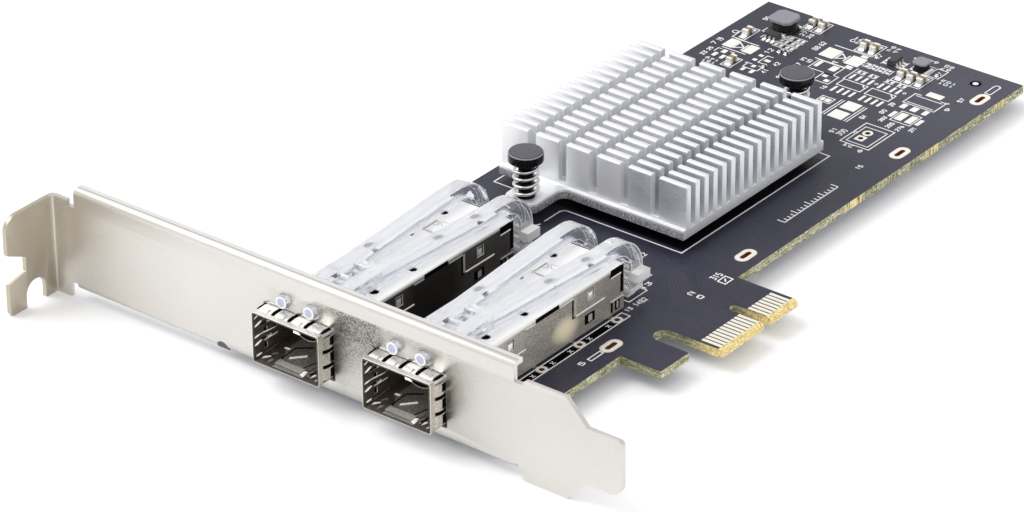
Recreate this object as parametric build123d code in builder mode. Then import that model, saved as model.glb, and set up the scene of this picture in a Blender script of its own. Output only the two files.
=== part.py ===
from build123d import *
import os

os.makedirs("parts", exist_ok=True)

# ---------------------------------------------------------------------------
# Network interface card with two module cages on a full-height slot bracket.
#
# Card coordinates used for every dimension below, in millimetres:
#   x  from the outer face of the bracket, along the board, away from it
#   y  from the lower edge of the board, towards the bracket's screw tab
#   z  from the component side of the board, up
# The model's own origin is at the middle of the card's footprint, at the
# lowest point of the bracket, so the card lies on a bench at z = 0.
# ---------------------------------------------------------------------------

# bracket sheet
SHEET = 0.86                 # sheet thickness
BRACKET_LENGTH = 120.02      # tail end to outer face of the screw tab
BRACKET_WIDTH = 18.42        # width of both end portions
TAIL_END = -26.46            # y of the tail's end
TAIL_WIDTH = 10.19
TAIL_TOP_Y = -19.65          # y where the tail's straight sides end
TAPER_TOP_Y = -15.55         # y where the taper meets the full width
BRACKET_LOW = -4.17          # z of the lower edge of the end portions
TAB_DEPTH = 11.43            # screw tab, from the face outwards
TAB_OUT = TAIL_END + BRACKET_LENGTH
MID_Y0 = -5.25               # middle portion with folded long edges
MID_Y1 = 87.90
MID_LOW = -2.43              # z of its lower fold: under the board
MID_HIGH = 16.80             # z of its upper fold
FOLD_DEPTH = 2.25            # how far the folded edges reach back
FOLD_R = 1.10                # outer radius of those folds
LOW_STEP_Y = -6.95           # where the lower end portion begins
HIGH_STEP_Y = 89.55          # where the upper end portion begins

# board
BOARD_T = 1.57
BOARD_X0 = 1.40
BOARD_X1 = 155.5
BOARD_W = 56.3
FIN_X0, FIN_X1, FIN_Y = 34.6, 42.3, -8.25
TONGUE_X0, TONGUE_X1, TONGUE_Y = 46.15, 67.3, -12.6
KEY_X, KEY_W, KEY_Y = 58.62, 1.9, -4.78
HOOK_R = (TONGUE_X0 - FIN_X1) / 2
CONTACT_Y0, CONTACT_Y1, CONTACT_W, CONTACT_T = -7.49, -11.45, 0.70, 0.05

# module cages
PORT_Y = {"port_1": 38.95, "port_2": 15.80}
PORT_RISE = {"port_1": 0.30, "port_2": 0.0}   # how far each cage stands up on its pins
CAGE_X0, CAGE_X1 = -3.60, 47.40
CAGE_HALF = 6.92             # half of the body's outer width
CAGE_FLOOR = 0.20
CAGE_TOP = 9.35
CAGE_SHEET = 0.25
COVER_X0, COVER_X1 = 11.65, 46.40
COVER_HALF = 7.22
OPENING_HALF = 7.45
OPENING_LOW, OPENING_HIGH = -0.25, 9.75
FINGER_GAPS = (-3.4, 0.0, 3.4)                # between the collar's four upper fingers
PIN_X = (13.4, 23.4, 33.5, 43.7)
REAR_PIN_DY = 3.6
TAB_WINDOWS = (16.8, 38.1)   # x of the cover tabs' latch windows
TAB_WINDOW_Z, TAB_LOW = 7.0, 4.6

# light pipes
PIPE_FRONT_DY, PIPE_REAR_DY = 2.90, 4.70
PIPE_Z = 11.30               # z of the round tips' axis
PIPE_R = 1.15
PIPE_HOLE_R = 1.25
PIPE_W = 2.80
PIPE_LOW, PIPE_HIGH = 9.45, 11.80
LEG_X0, LEG_X1 = 50.5, 53.8
LEG_FOOT = 1.0
BEND_R, BEND_INNER_R = 6.8, 3.7
LEDGE_Z0, LEDGE_Z1, LEDGE_OUT = 3.35, 5.1, 1.5
LED_X = 51.65
PEG_X, PEG_R = 53.25, 0.40

# heatsink
SINK_X0, SINK_X1 = 69.7, 109.5
SINK_Y0, SINK_Y1 = 12.45, 52.1
SINK_LIP = 0.80              # how far the base plate stands out past the end fins
SINK_LOW, SINK_BASE, SINK_TOP = 2.00, 1.85, 11.95
FIN_COUNT, FIN_T = 16, 1.30
CROSS_CUT_Z = 4.35
COLUMNS = (5.8, 4.9, 4.9, 4.9, 4.9, 5.8)
CROSS_W = (SINK_Y1 - SINK_Y0 - sum(COLUMNS)) / 5
SINK_CX, SINK_CY = (SINK_X0 + SINK_X1) / 2, (SINK_Y0 + SINK_Y1) / 2
PINS = ((62.95, 41.5), (115.05, 21.7))
EAR_HALF_W, EAR_END = 3.35, 2.75              # half width, and reach past the pin
PIN_HEAD_R, PIN_HEAD_Z0, PIN_HEAD_Z1 = 3.12, 10.55, 12.50
PIN_SHAFT_R = 1.35
SPRING_R, SPRING_WIRE = 2.06, 0.29

# bracket screws
SCREW_X = 6.0
SCREW_Y = (4.2, 51.4)
EAR_HALF = 3.8

# plated slots along the lower edge of the board, spare plated holes beside
# each cage, and the holes of a header that isn't fitted
PLATED_SLOTS = ((36.3, 3.1), (74.3, 3.3), (120.5, 3.2), (146.1, 3.2))
SPARE_DY, SPARE_R = 8.35, 0.50
HEADER_HOLES = ((123.2, 11.85), (120.9, 11.80))

# parts at the far end of the board: centres
POWER_COIL = (147.7, 47.2)
SMALL_COIL = (149.65, 18.1)
REGULATOR_1 = (143.65, 46.95)
REGULATOR_2 = (148.7, 23.3)
CAPS = ((142.3, 51.6), (131.2, 47.3), (152.9, 44.15), (152.75, 41.95),
        (150.8, 31.3), (150.65, 29.1), (145.3, 19.4), (145.3, 17.35), (145.3, 15.2))
CHIPS_0402 = ((149.4, 14.4), (149.0, 27.3), (139.9, 42.6), (139.9, 41.2), (133.2, 41.4))

# origin of the model in card coordinates
X0 = -(BOARD_X1 - TAB_DEPTH) / 2
Y0 = -(TAIL_END + TAB_OUT) / 2
Z0 = -BRACKET_LOW


def level(z):
    """Plane parallel to the board, drawn in card (x, y), facing +z."""
    return Plane(origin=(X0, Y0, Z0 + z))


def across(x):
    """Plane across the card, drawn in card (y, z), facing +x."""
    return Plane(origin=(X0 + x, Y0, Z0), x_dir=(0, 1, 0), z_dir=(1, 0, 0))


def along(y):
    """Plane along the card's length, drawn in card (x, z), facing -y."""
    return Plane(origin=(X0, Y0 + y, Z0), x_dir=(1, 0, 0), z_dir=(0, -1, 0))


def keep(part, name):
    part.label = name
    export_step(part, "parts/" + name + ".step")


# ---------------------------------------------------------------------------
# Bracket: one folded sheet
# ---------------------------------------------------------------------------
low, high = BRACKET_LOW, BRACKET_LOW + BRACKET_WIDTH
tail_low = low + (BRACKET_WIDTH - TAIL_WIDTH) / 2
tail_high = tail_low + TAIL_WIDTH

with BuildPart() as bracket:
    # middle portion: a shallow channel, both long edges folded back
    with BuildSketch(along(MID_Y1)) as channel:
        with BuildLine():
            Polyline((0, MID_LOW), (FOLD_DEPTH, MID_LOW), (FOLD_DEPTH, MID_LOW + SHEET),
                     (SHEET, MID_LOW + SHEET), (SHEET, MID_HIGH - SHEET),
                     (FOLD_DEPTH, MID_HIGH - SHEET), (FOLD_DEPTH, MID_HIGH),
                     (0, MID_HIGH), close=True)
        make_face()
        for z in (MID_LOW, MID_HIGH):
            fillet(channel.vertices().sort_by_distance((0, z, 0))[0], FOLD_R)
        for z in (MID_LOW + SHEET, MID_HIGH - SHEET):
            fillet(channel.vertices().sort_by_distance((SHEET, z, 0))[0], FOLD_R - SHEET)
    extrude(amount=MID_Y1 - MID_Y0)
    # flat ends of the face: tail, taper and full-width portion, and the portion
    # under the tab, each joined to the channel by a narrower neck
    with BuildSketch(across(0)) as tail:
        with BuildLine():
            Polyline((TAIL_END, tail_low), (TAIL_TOP_Y, tail_low), (TAPER_TOP_Y, low),
                     (LOW_STEP_Y, low), (LOW_STEP_Y, -1.9), (MID_Y0 + 0.5, -1.3),
                     (MID_Y0 + 0.5, 13.4), (LOW_STEP_Y, 13.4), (LOW_STEP_Y, high),
                     (TAPER_TOP_Y, high), (TAIL_TOP_Y, tail_high), (TAIL_END, tail_high),
                     close=True)
        make_face()
        fillet(tail.vertices().sort_by_distance((TAIL_END, tail_low, 0))[0], 2.4)
        fillet(tail.vertices().sort_by_distance((TAIL_END, tail_high, 0))[0], 0.9)
        for y in (TAPER_TOP_Y, LOW_STEP_Y):
            for z in (low, high):
                fillet(tail.vertices().sort_by_distance((y, z, 0))[0], 0.7)
    extrude(amount=SHEET)
    with BuildSketch(across(0)) as neck:
        with BuildLine():
            Polyline((MID_Y1 - 0.5, -1.3), (HIGH_STEP_Y, -1.3), (HIGH_STEP_Y, low),
                     (TAB_OUT - 1.6, low), (TAB_OUT - 1.6, high), (HIGH_STEP_Y, high),
                     (HIGH_STEP_Y, 13.3), (MID_Y1 - 0.5, 13.3), close=True)
        make_face()
    extrude(amount=SHEET)
    # screw tab folded outwards
    with BuildSketch(level(low)) as fold:
        with BuildLine():
            Polyline((SHEET, TAB_OUT - 2.0), (SHEET, TAB_OUT), (-TAB_DEPTH, TAB_OUT),
                     (-TAB_DEPTH, TAB_OUT - SHEET), (0, TAB_OUT - SHEET),
                     (0, TAB_OUT - 2.0), close=True)
        make_face()
        fillet(fold.vertices().sort_by_distance((SHEET, TAB_OUT, 0))[0], 1.15)
        fillet(fold.vertices().sort_by_distance((0, TAB_OUT - SHEET, 0))[0], 0.35)
    extrude(amount=BRACKET_WIDTH)
    # tab outline: rounded corner, locating notch, open screw slot
    with BuildSketch(along(TAB_OUT + 0.5)) as tab_cuts:
        with BuildLine():
            Polyline((-TAB_DEPTH - 1, 7.45), (-TAB_DEPTH, 7.45), (-7.15, 5.5), (-7.15, 2.8),
                     (-TAB_DEPTH, 1.85), (-TAB_DEPTH - 1, 1.85), close=True)
        make_face()
        with BuildLine():
            Polyline((-7.5, low - 1), (-7.5, -1.95), (-2.75, -1.95), (-2.75, low - 1),
                     close=True)
        make_face()
        with Locations((-5.125, -1.95)):
            Circle(2.375)
    extrude(amount=2.0, mode=Mode.SUBTRACT)
    outer = bracket.edges().filter_by(Axis.Y).group_by(Axis.X)[0]
    fillet(outer.sort_by(Axis.Z)[-1], 2.6)
    fillet(outer.sort_by(Axis.Z)[0], 0.9)
    # openings for the cages and the light pipe tips
    with BuildSketch(across(-0.5)) as openings:
        for port, y in PORT_Y.items():
            rise = PORT_RISE[port]
            with Locations((y, (OPENING_LOW + OPENING_HIGH) / 2 + rise)):
                RectangleRounded(2 * OPENING_HALF, OPENING_HIGH - OPENING_LOW, 0.35)
            with Locations((y - PIPE_FRONT_DY, PIPE_Z + rise), (y + PIPE_FRONT_DY, PIPE_Z + rise)):
                Circle(PIPE_HOLE_R)
        with Locations((55.8, MID_LOW)):
            Circle(1.35)
    extrude(amount=2.2, mode=Mode.SUBTRACT)
    # fixing ears under the board, with drawn screw collars
    with BuildSketch(level(MID_LOW)) as ears:
        for y in SCREW_Y:
            with Locations(((FOLD_DEPTH - 0.4 + SCREW_X) / 2, y)):
                Rectangle(SCREW_X - FOLD_DEPTH + 0.4, 2 * EAR_HALF)
            with Locations((SCREW_X, y)):
                Circle(EAR_HALF)
    extrude(amount=SHEET)
    with BuildSketch(level(MID_LOW - 1.0)) as collars:
        with Locations(*[(SCREW_X, y) for y in SCREW_Y]):
            Circle(2.3)
    extrude(amount=1.0)
    with BuildSketch(level(MID_LOW - 1.5)) as tapped:
        with Locations(*[(SCREW_X, y) for y in SCREW_Y]):
            Circle(1.5)
    extrude(amount=3.0, mode=Mode.SUBTRACT)
keep(bracket.part, "bracket")

# ---------------------------------------------------------------------------
# Circuit board
# ---------------------------------------------------------------------------
with BuildPart() as circuit_board:
    with BuildSketch(level(-BOARD_T)) as outline:
        with BuildLine():
            Polyline((BOARD_X0, 0), (FIN_X0, 0), (FIN_X0, FIN_Y), (FIN_X1, FIN_Y),
                     (FIN_X1, -HOOK_R), (TONGUE_X0, -HOOK_R), (TONGUE_X0, TONGUE_Y),
                     (TONGUE_X1, TONGUE_Y), (TONGUE_X1, 0), (BOARD_X1, 0),
                     (BOARD_X1, BOARD_W), (BOARD_X0, BOARD_W), close=True)
        make_face()
        with Locations(((FIN_X1 + TONGUE_X0) / 2, -HOOK_R)):
            Circle(HOOK_R, mode=Mode.SUBTRACT)
        with Locations((KEY_X, (KEY_Y - KEY_W / 2 + TONGUE_Y - 1) / 2)):
            Rectangle(KEY_W, KEY_Y - KEY_W / 2 - TONGUE_Y + 1, mode=Mode.SUBTRACT)
        with Locations((KEY_X, KEY_Y - KEY_W / 2)):
            Circle(KEY_W / 2, mode=Mode.SUBTRACT)
        for x in (TONGUE_X0, TONGUE_X1, KEY_X - KEY_W / 2, KEY_X + KEY_W / 2):
            fillet(outline.vertices().sort_by_distance((x, TONGUE_Y, 0))[0], 0.45)
        # holes: bracket screws, push pins, cage pins, light pipe pegs
        with Locations(*[(SCREW_X, y) for y in SCREW_Y]):
            Circle(1.6, mode=Mode.SUBTRACT)
        with Locations(*PINS):
            Circle(1.6, mode=Mode.SUBTRACT)
        for y in PORT_Y.values():
            with Locations(*[(x, y + s * (CAGE_HALF - CAGE_SHEET / 2))
                             for x in PIN_X for s in (-1, 1)]):
                Circle(0.5, mode=Mode.SUBTRACT)
            with Locations(*[(CAGE_X1 - CAGE_SHEET / 2, y + s * REAR_PIN_DY) for s in (-1, 1)]):
                Circle(0.5, mode=Mode.SUBTRACT)
            with Locations(*[(PEG_X, y + s * PIPE_REAR_DY) for s in (-1, 1)]):
                Circle(PEG_R + 0.05, mode=Mode.SUBTRACT)
            with Locations(*[(x, y - SPARE_DY) for x in PIN_X]):
                Circle(SPARE_R, mode=Mode.SUBTRACT)
        with Locations(*PLATED_SLOTS):
            SlotOverall(2.9, 1.0, mode=Mode.SUBTRACT)
        with Locations(*HEADER_HOLES):
            Circle(0.5, mode=Mode.SUBTRACT)
    extrude(amount=BOARD_T)
    # bevelled tip of the tongue, both faces
    with BuildSketch(across(TONGUE_X0 - 1)) as bevels:
        with BuildLine():
            Polyline((TONGUE_Y - 1, 0.5), (TONGUE_Y + 1.05, 0.5), (TONGUE_Y + 1.05, 0),
                     (TONGUE_Y, -0.46), (TONGUE_Y - 1, -0.46), close=True)
        make_face()
        with BuildLine():
            Polyline((TONGUE_Y - 1, -BOARD_T - 0.5), (TONGUE_Y + 1.05, -BOARD_T - 0.5),
                     (TONGUE_Y + 1.05, -BOARD_T), (TONGUE_Y, -BOARD_T + 0.46),
                     (TONGUE_Y - 1, -BOARD_T + 0.46), close=True)
        make_face()
    extrude(amount=TONGUE_X1 - TONGUE_X0 + 2, mode=Mode.SUBTRACT)
keep(circuit_board.part, "circuit_board")

# Gold contacts on both faces of the tongue: eleven, the key, then seven
contact_x = [KEY_X - 1.5 - i for i in range(11)] + [KEY_X + 1.5 + i for i in range(7)]
with BuildPart() as edge_contacts:
    for z in (0, -BOARD_T - CONTACT_T):
        with BuildSketch(level(z)):
            with Locations(*[(x, (CONTACT_Y0 + CONTACT_Y1) / 2) for x in contact_x]):
                Rectangle(CONTACT_W, CONTACT_Y0 - CONTACT_Y1)
        extrude(amount=CONTACT_T)
keep(edge_contacts.part, "edge_contacts")

# ---------------------------------------------------------------------------
# Module cages, their covers, collars, board connectors and light pipes
# ---------------------------------------------------------------------------
for port, yc in PORT_Y.items():
    rise = PORT_RISE[port]
    floor, top = CAGE_FLOOR + rise, CAGE_TOP + rise
    mid = (floor + top) / 2
    # body: a mouth tube in front, an open channel with a rear wall behind
    with BuildPart() as cage_body:
        with BuildSketch(across(CAGE_X0)):
            with Locations((yc, mid)):
                RectangleRounded(2 * CAGE_HALF, top - floor, 0.4)
        extrude(amount=COVER_X0 - 0.1 - CAGE_X0)
        with BuildSketch(across(COVER_X0 - 0.1)):
            with Locations((yc, (floor + top - 0.4) / 2)):
                Rectangle(2 * CAGE_HALF, top - 0.4 - floor)
        extrude(amount=CAGE_X1 - COVER_X0 + 0.1)
        with BuildSketch(across(CAGE_X0 - 1)):
            with Locations((yc, mid)):
                Rectangle(2 * (CAGE_HALF - CAGE_SHEET), top - floor - 2 * CAGE_SHEET)
        extrude(amount=CAGE_X1 - CAGE_SHEET - CAGE_X0 + 1, mode=Mode.SUBTRACT)
        with BuildSketch(across(COVER_X0 - 0.1)):
            with Locations((yc, top)):
                Rectangle(2 * (CAGE_HALF - CAGE_SHEET), 2.0)
        extrude(amount=CAGE_X1 - CAGE_SHEET - COVER_X0 + 0.1, mode=Mode.SUBTRACT)
        # floor opening for the board connector, and the slots beside the
        # latch tongue at the mouth
        with BuildSketch(level(floor - 0.5)):
            with Locations((37.3, yc)):
                Rectangle(13.0, 11.8)
            with Locations((0.9, yc - 3.15), (0.9, yc + 3.15)):
                Rectangle(6.6, 0.55)
            with Locations((3.95, yc)):
                Rectangle(0.5, 6.0)
        extrude(amount=1.0, mode=Mode.SUBTRACT)
        # slots between the collar's fingers, in all four walls
        with BuildSketch(level(floor - 1)):
            with Locations(*[(-0.75, yc + dy) for dy in FINGER_GAPS]):
                Rectangle(3.1, 0.56)
        extrude(amount=top - floor + 2, mode=Mode.SUBTRACT)
        with BuildSketch(along(yc)):
            with Locations((-0.75, mid - 1.4), (-0.75, mid + 1.4)):
                Rectangle(3.1, 0.5)
            with Locations(*[(-0.55, mid + dz) for dz in (-2.8, 0, 2.8)]):
                Rectangle(0.9, 1.1)
            # windows in the side walls, and the relief slits at the rear corner
            with Locations((38.05, floor + 2.35)):
                Rectangle(2.5, 1.7)
            with Locations((45.6, floor + 1.6)):
                Rectangle(1.2, 1.6)
            with Locations((45.0, top - 1.0)):
                Rectangle(3.1, 1.25)
            with Locations((10.35, top - 0.85)):
                Rectangle(1.9, 0.6)
            with Locations((46.95, floor + 5.3)):
                Rectangle(0.4, 4.8)
        extrude(amount=10, both=True, mode=Mode.SUBTRACT)
        # latch bumps that hold the cover's windows
        with BuildSketch(along(yc)):
            with Locations(*[(x, TAB_WINDOW_Z + rise) for x in TAB_WINDOWS]):
                Rectangle(1.3, 1.5)
        extrude(amount=CAGE_HALF + 0.22, both=True)
        with BuildSketch(along(yc)):
            with Locations(*[(x, TAB_WINDOW_Z + rise) for x in TAB_WINDOWS]):
                Rectangle(1.4, 1.6)
        extrude(amount=CAGE_HALF - CAGE_SHEET, both=True, mode=Mode.SUBTRACT)
        # board pins, stamped in one with the side and rear walls
        for s in (-1, 1):
            with BuildSketch(level(-2.5)):
                with Locations(*[(x, yc + s * (CAGE_HALF - CAGE_SHEET / 2)) for x in PIN_X]):
                    Rectangle(0.75, CAGE_SHEET)
                with Locations((CAGE_X1 - CAGE_SHEET / 2, yc + s * REAR_PIN_DY)):
                    Rectangle(CAGE_SHEET, 0.75)
            extrude(amount=2.5 + floor + CAGE_SHEET)
    keep(cage_body.part, port + "_cage_body")

    # cover: top plate, short skirts and two latching tabs on each side
    with BuildPart() as cage_cover:
        with BuildSketch(across(COVER_X0)) as skirt:
            with BuildLine():
                a, b, t, skirt_low = COVER_HALF, COVER_HALF - CAGE_SHEET, CAGE_SHEET, top - 1.15
                Polyline((yc - a, skirt_low), (yc - a, top), (yc + a, top),
                         (yc + a, skirt_low), (yc + b, skirt_low), (yc + b, top - t),
                         (yc - b, top - t), (yc - b, skirt_low), close=True)
            make_face()
            for s in (-1, 1):
                fillet(skirt.vertices().sort_by_distance((yc + s * a, top, 0))[0], 0.45)
                fillet(skirt.vertices().sort_by_distance((yc + s * b, top - t, 0))[0], 0.2)
        extrude(amount=COVER_X1 - COVER_X0)
        tab_low, tab_high = TAB_LOW + rise, top - 0.9
        for s in (-1, 1):
            with BuildSketch(along(yc + s * (COVER_HALF - CAGE_SHEET / 2))):
                for x in ((12.85 + 20.3) / 2, (33.7 + 41.6) / 2):
                    with Locations((x, (tab_low + tab_high) / 2)):
                        Rectangle(7.6, tab_high - tab_low)
            extrude(amount=CAGE_SHEET / 2, both=True)
        with BuildSketch(along(yc)):
            with Locations(*[(x, TAB_WINDOW_Z + rise) for x in TAB_WINDOWS]):
                Rectangle(1.9, 2.1)
            with Locations((26.35, top - 0.72)):
                Rectangle(6.1, 0.75)
            with Locations((45.0, top - 1.05)):
                Rectangle(2.9, 1.1)
        extrude(amount=10, both=True, mode=Mode.SUBTRACT)
        with BuildSketch(level(top - 1)):
            with Locations((13.6, yc - 4.5), (14.2, yc + 4.7)):
                Circle(0.9)
            with Locations((23.2, yc - 4.9), (24.3, yc + 4.9), (27.4, yc), (32.2, yc + 3.1),
                           (33.2, yc - 3.1), (41.4, yc + 3.2), (42.3, yc - 3.3)):
                Circle(0.75)
            # slits round the cover's inner spring tongue
            with Locations((34.85, yc + 0.4)):
                Rectangle(0.6, 4.3)
            with Locations((36.6, yc - 1.6), (36.6, yc + 2.4)):
                Rectangle(4.1, 0.4)
        extrude(amount=2, mode=Mode.SUBTRACT)
    keep(cage_cover.part, port + "_cage_cover")

    # earthing collar round the mouth: a band with bowed fingers behind it
    with BuildPart() as collar:
        with BuildSketch(across(CAGE_X0 + 0.05)):
            with Locations((yc, mid)):
                RectangleRounded(2 * CAGE_HALF + 0.26, top - floor + 0.26, 0.53)
                RectangleRounded(2 * CAGE_HALF + 0.02, top - floor + 0.02, 0.41,
                                 mode=Mode.SUBTRACT)
        extrude(amount=1.05)
        x0, x1, peak = CAGE_X0 + 1.05, 1.15, -1.35
        for z, s in ((top + 0.01, 1), (floor - 0.01, -1)):
            for dy in (-5.1, -1.7, 1.7, 5.1):
                with BuildSketch(along(yc + dy)):
                    with BuildLine():
                        m1 = Spline((x0, z + s * 0.13), (peak, z + s * 0.33), (x1, z + s * 0.14),
                                    tangents=[(1, s * 0.30), (1, -s * 0.05)])
                        m2 = Line((x1, z + s * 0.14), (x1, z + s * 0.01))
                        m3 = Spline((x1, z + s * 0.01), (peak, z + s * 0.20), (x0, z),
                                    tangents=[(-1, s * 0.05), (-1, -s * 0.30)])
                        m4 = Line((x0, z), (x0, z + s * 0.13))
                    make_face()
                extrude(amount=1.3, both=True)
        for s in (-1, 1):
            y = yc + s * (CAGE_HALF + 0.01)
            for zc in (mid - 2.8, mid, mid + 2.8):
                with BuildSketch(level(zc)):
                    with BuildLine():
                        m1 = Spline((x0, y + s * 0.13), (peak, y + s * 0.45), (x1, y + s * 0.14),
                                    tangents=[(1, s * 0.42), (1, -s * 0.05)])
                        m2 = Line((x1, y + s * 0.14), (x1, y + s * 0.01))
                        m3 = Spline((x1, y + s * 0.01), (peak, y + s * 0.32), (x0, y),
                                    tangents=[(-1, s * 0.05), (-1, -s * 0.42)])
                        m4 = Line((x0, y), (x0, y + s * 0.13))
                    make_face()
                extrude(amount=1.05, both=True)
        # small slits beside the roots of the upper fingers, square windows in
        # the side fingers
        with BuildSketch(level(top - 0.3)):
            with Locations(*[(x0 + 0.45, yc + dy + 1.15) for dy in FINGER_GAPS]):
                Rectangle(0.9, 0.22)
        extrude(amount=1.2, mode=Mode.SUBTRACT)
        with BuildSketch(along(yc)):
            with Locations(*[(-0.55, mid + dz) for dz in (-2.8, 0, 2.8)]):
                Rectangle(0.8, 1.0)
        extrude(amount=10, both=True, mode=Mode.SUBTRACT)
    keep(collar.part, port + "_earth_collar")

    # board connector inside the cage
    with BuildPart() as connector:
        with BuildSketch(across(31.6)):
            with Locations((yc, 3.0)):
                Rectangle(11.4, 6.0)
        extrude(amount=11.2)
        with BuildSketch(across(31.0)):
            with Locations((yc, 3.1)):
                Rectangle(9.6, 1.7)
        extrude(amount=7.0, mode=Mode.SUBTRACT)
        chamfer(connector.edges().group_by(Axis.X)[-1].group_by(Axis.Z)[-1], 1.2)
    keep(connector.part, port + "_connector")

    # clear light pipe: two arms over the cage, joined by a web near the bracket
    pipe_low, pipe_high, tip_z = PIPE_LOW + rise, PIPE_HIGH + rise, PIPE_Z + rise
    bend_x = LEG_X1 - BEND_R
    inner_x = LEG_X0 - BEND_INNER_R
    with BuildPart() as light_pipe:
        for s in (-1, 1):
            rear = yc + s * PIPE_REAR_DY
            front = yc + s * PIPE_FRONT_DY
            h = PIPE_W / 2
            with BuildSketch(along(rear)):
                with BuildLine():
                    m1 = Line((43.0, pipe_low), (43.0, pipe_high))
                    m2 = Line((43.0, pipe_high), (bend_x, pipe_high))
                    m3 = RadiusArc((bend_x, pipe_high), (LEG_X1, pipe_high - BEND_R), BEND_R)
                    m4 = Line((LEG_X1, pipe_high - BEND_R), (LEG_X1, LEG_FOOT))
                    m5 = Line((LEG_X1, LEG_FOOT), (LEG_X0, LEG_FOOT))
                    m6 = Line((LEG_X0, LEG_FOOT), (LEG_X0, pipe_low - BEND_INNER_R))
                    m7 = RadiusArc((LEG_X0, pipe_low - BEND_INNER_R), (inner_x, pipe_low),
                                   -BEND_INNER_R)
                    m8 = Line((inner_x, pipe_low), (43.0, pipe_low))
                make_face()
            extrude(amount=h, both=True)
            with BuildSketch(level(pipe_low)):
                with BuildLine():
                    Polyline((43.0, rear - h), (43.0, rear + h), (17.0, front + h),
                             (7.0, front + h), (7.0, front - h), (17.0, front - h), close=True)
                make_face()
            extrude(amount=pipe_high - pipe_low)
            with BuildSketch(across(-0.9)):
                with Locations((front, tip_z)):
                    Circle(PIPE_R)
            extrude(amount=9.5)
            # ledge on the outer side of the leg, which steadies it while moulding
            with BuildSketch(level(LEDGE_Z0)):
                with Locations(((LEG_X0 + LEG_X1) / 2, rear + s * (h + LEDGE_OUT / 2 - 0.1))):
                    Rectangle(LEG_X1 - LEG_X0, LEDGE_OUT + 0.2)
            extrude(amount=LEDGE_Z1 - LEDGE_Z0)
            # core pockets: a ladder down the side facing the cage, two outside
            with BuildSketch(across(LEG_X0 - 0.1)):
                with Locations(*[(rear, z) for z in (2.35, 4.3, 6.35)]):
                    Rectangle(1.9, 1.15)
            extrude(amount=1.0, mode=Mode.SUBTRACT)
            with BuildSketch(along(rear + s * (h - 0.5 if s > 0 else h))):
                with Locations((52.1, 2.2), (52.1, 6.0)):
                    Rectangle(1.7, 1.1)
            extrude(amount=0.5 if s < 0 else -0.6, mode=Mode.SUBTRACT)
            with BuildSketch(level(-2.2)):
                with Locations((PEG_X, rear)):
                    Circle(PEG_R)
            extrude(amount=3.3)
        # web with its two windows, cross ribs and two round bosses
        with BuildSketch(level(pipe_low + 0.25)):
            with Locations((11.8, yc)):
                Rectangle(9.0, 2 * PIPE_FRONT_DY)
            with Locations((9.6, yc), (14.0, yc)):
                Rectangle(1.6, 2.2, mode=Mode.SUBTRACT)
        extrude(amount=1.1)
        with BuildSketch(level(pipe_low + 0.25)):
            with Locations((11.8, yc), (16.0, yc)):
                Rectangle(0.6, 2 * PIPE_FRONT_DY)
            with Locations((17.4, yc + 1.1), (17.4, yc - 1.1)):
                Circle(0.75)
            with Locations((17.0, yc)):
                Rectangle(1.2, 2 * PIPE_FRONT_DY - 2.0)
        extrude(amount=1.9)
    keep(light_pipe.part, port + "_light_pipe")

# Spring contacts of both board connectors, two rows of ten each
with BuildPart() as connector_contacts:
    for yc in PORT_Y.values():
        for z in (2.25, 3.79):
            with BuildSketch(level(z)):
                with Locations(*[(34.8, yc + (i - 4.5) * 0.8) for i in range(10)]):
                    Rectangle(6.2, 0.36)
            extrude(amount=0.16)
keep(connector_contacts.part, "connector_contacts")

# Four status LEDs under the legs of the light pipes
with BuildPart() as status_leds:
    with BuildSketch(level(0)):
        with Locations(*[(LED_X, yc + s * PIPE_REAR_DY)
                         for yc in PORT_Y.values() for s in (-1, 1)]):
            Rectangle(2.0, 1.25)
    extrude(amount=0.75)
keep(status_leds.part, "status_leds")

# ---------------------------------------------------------------------------
# Controller chip, thermal pad, heatsink, push pins and springs
# ---------------------------------------------------------------------------
with BuildPart() as controller_chip:
    with BuildSketch(level(0)):
        with Locations((SINK_CX, SINK_CY)):
            Rectangle(23.0, 23.0)
    extrude(amount=0.9)
    with BuildSketch(level(0.9)):
        with Locations((SINK_CX, SINK_CY)):
            RectangleRounded(19.5, 19.5, 0.8)
    extrude(amount=0.4)
keep(controller_chip.part, "controller_chip")

with BuildPart() as thermal_pad:
    with BuildSketch(level(1.3)):
        with Locations((SINK_CX, SINK_CY)):
            Rectangle(20.0, 20.0)
    extrude(amount=SINK_LOW - 1.3)
keep(thermal_pad.part, "thermal_pad")

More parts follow.
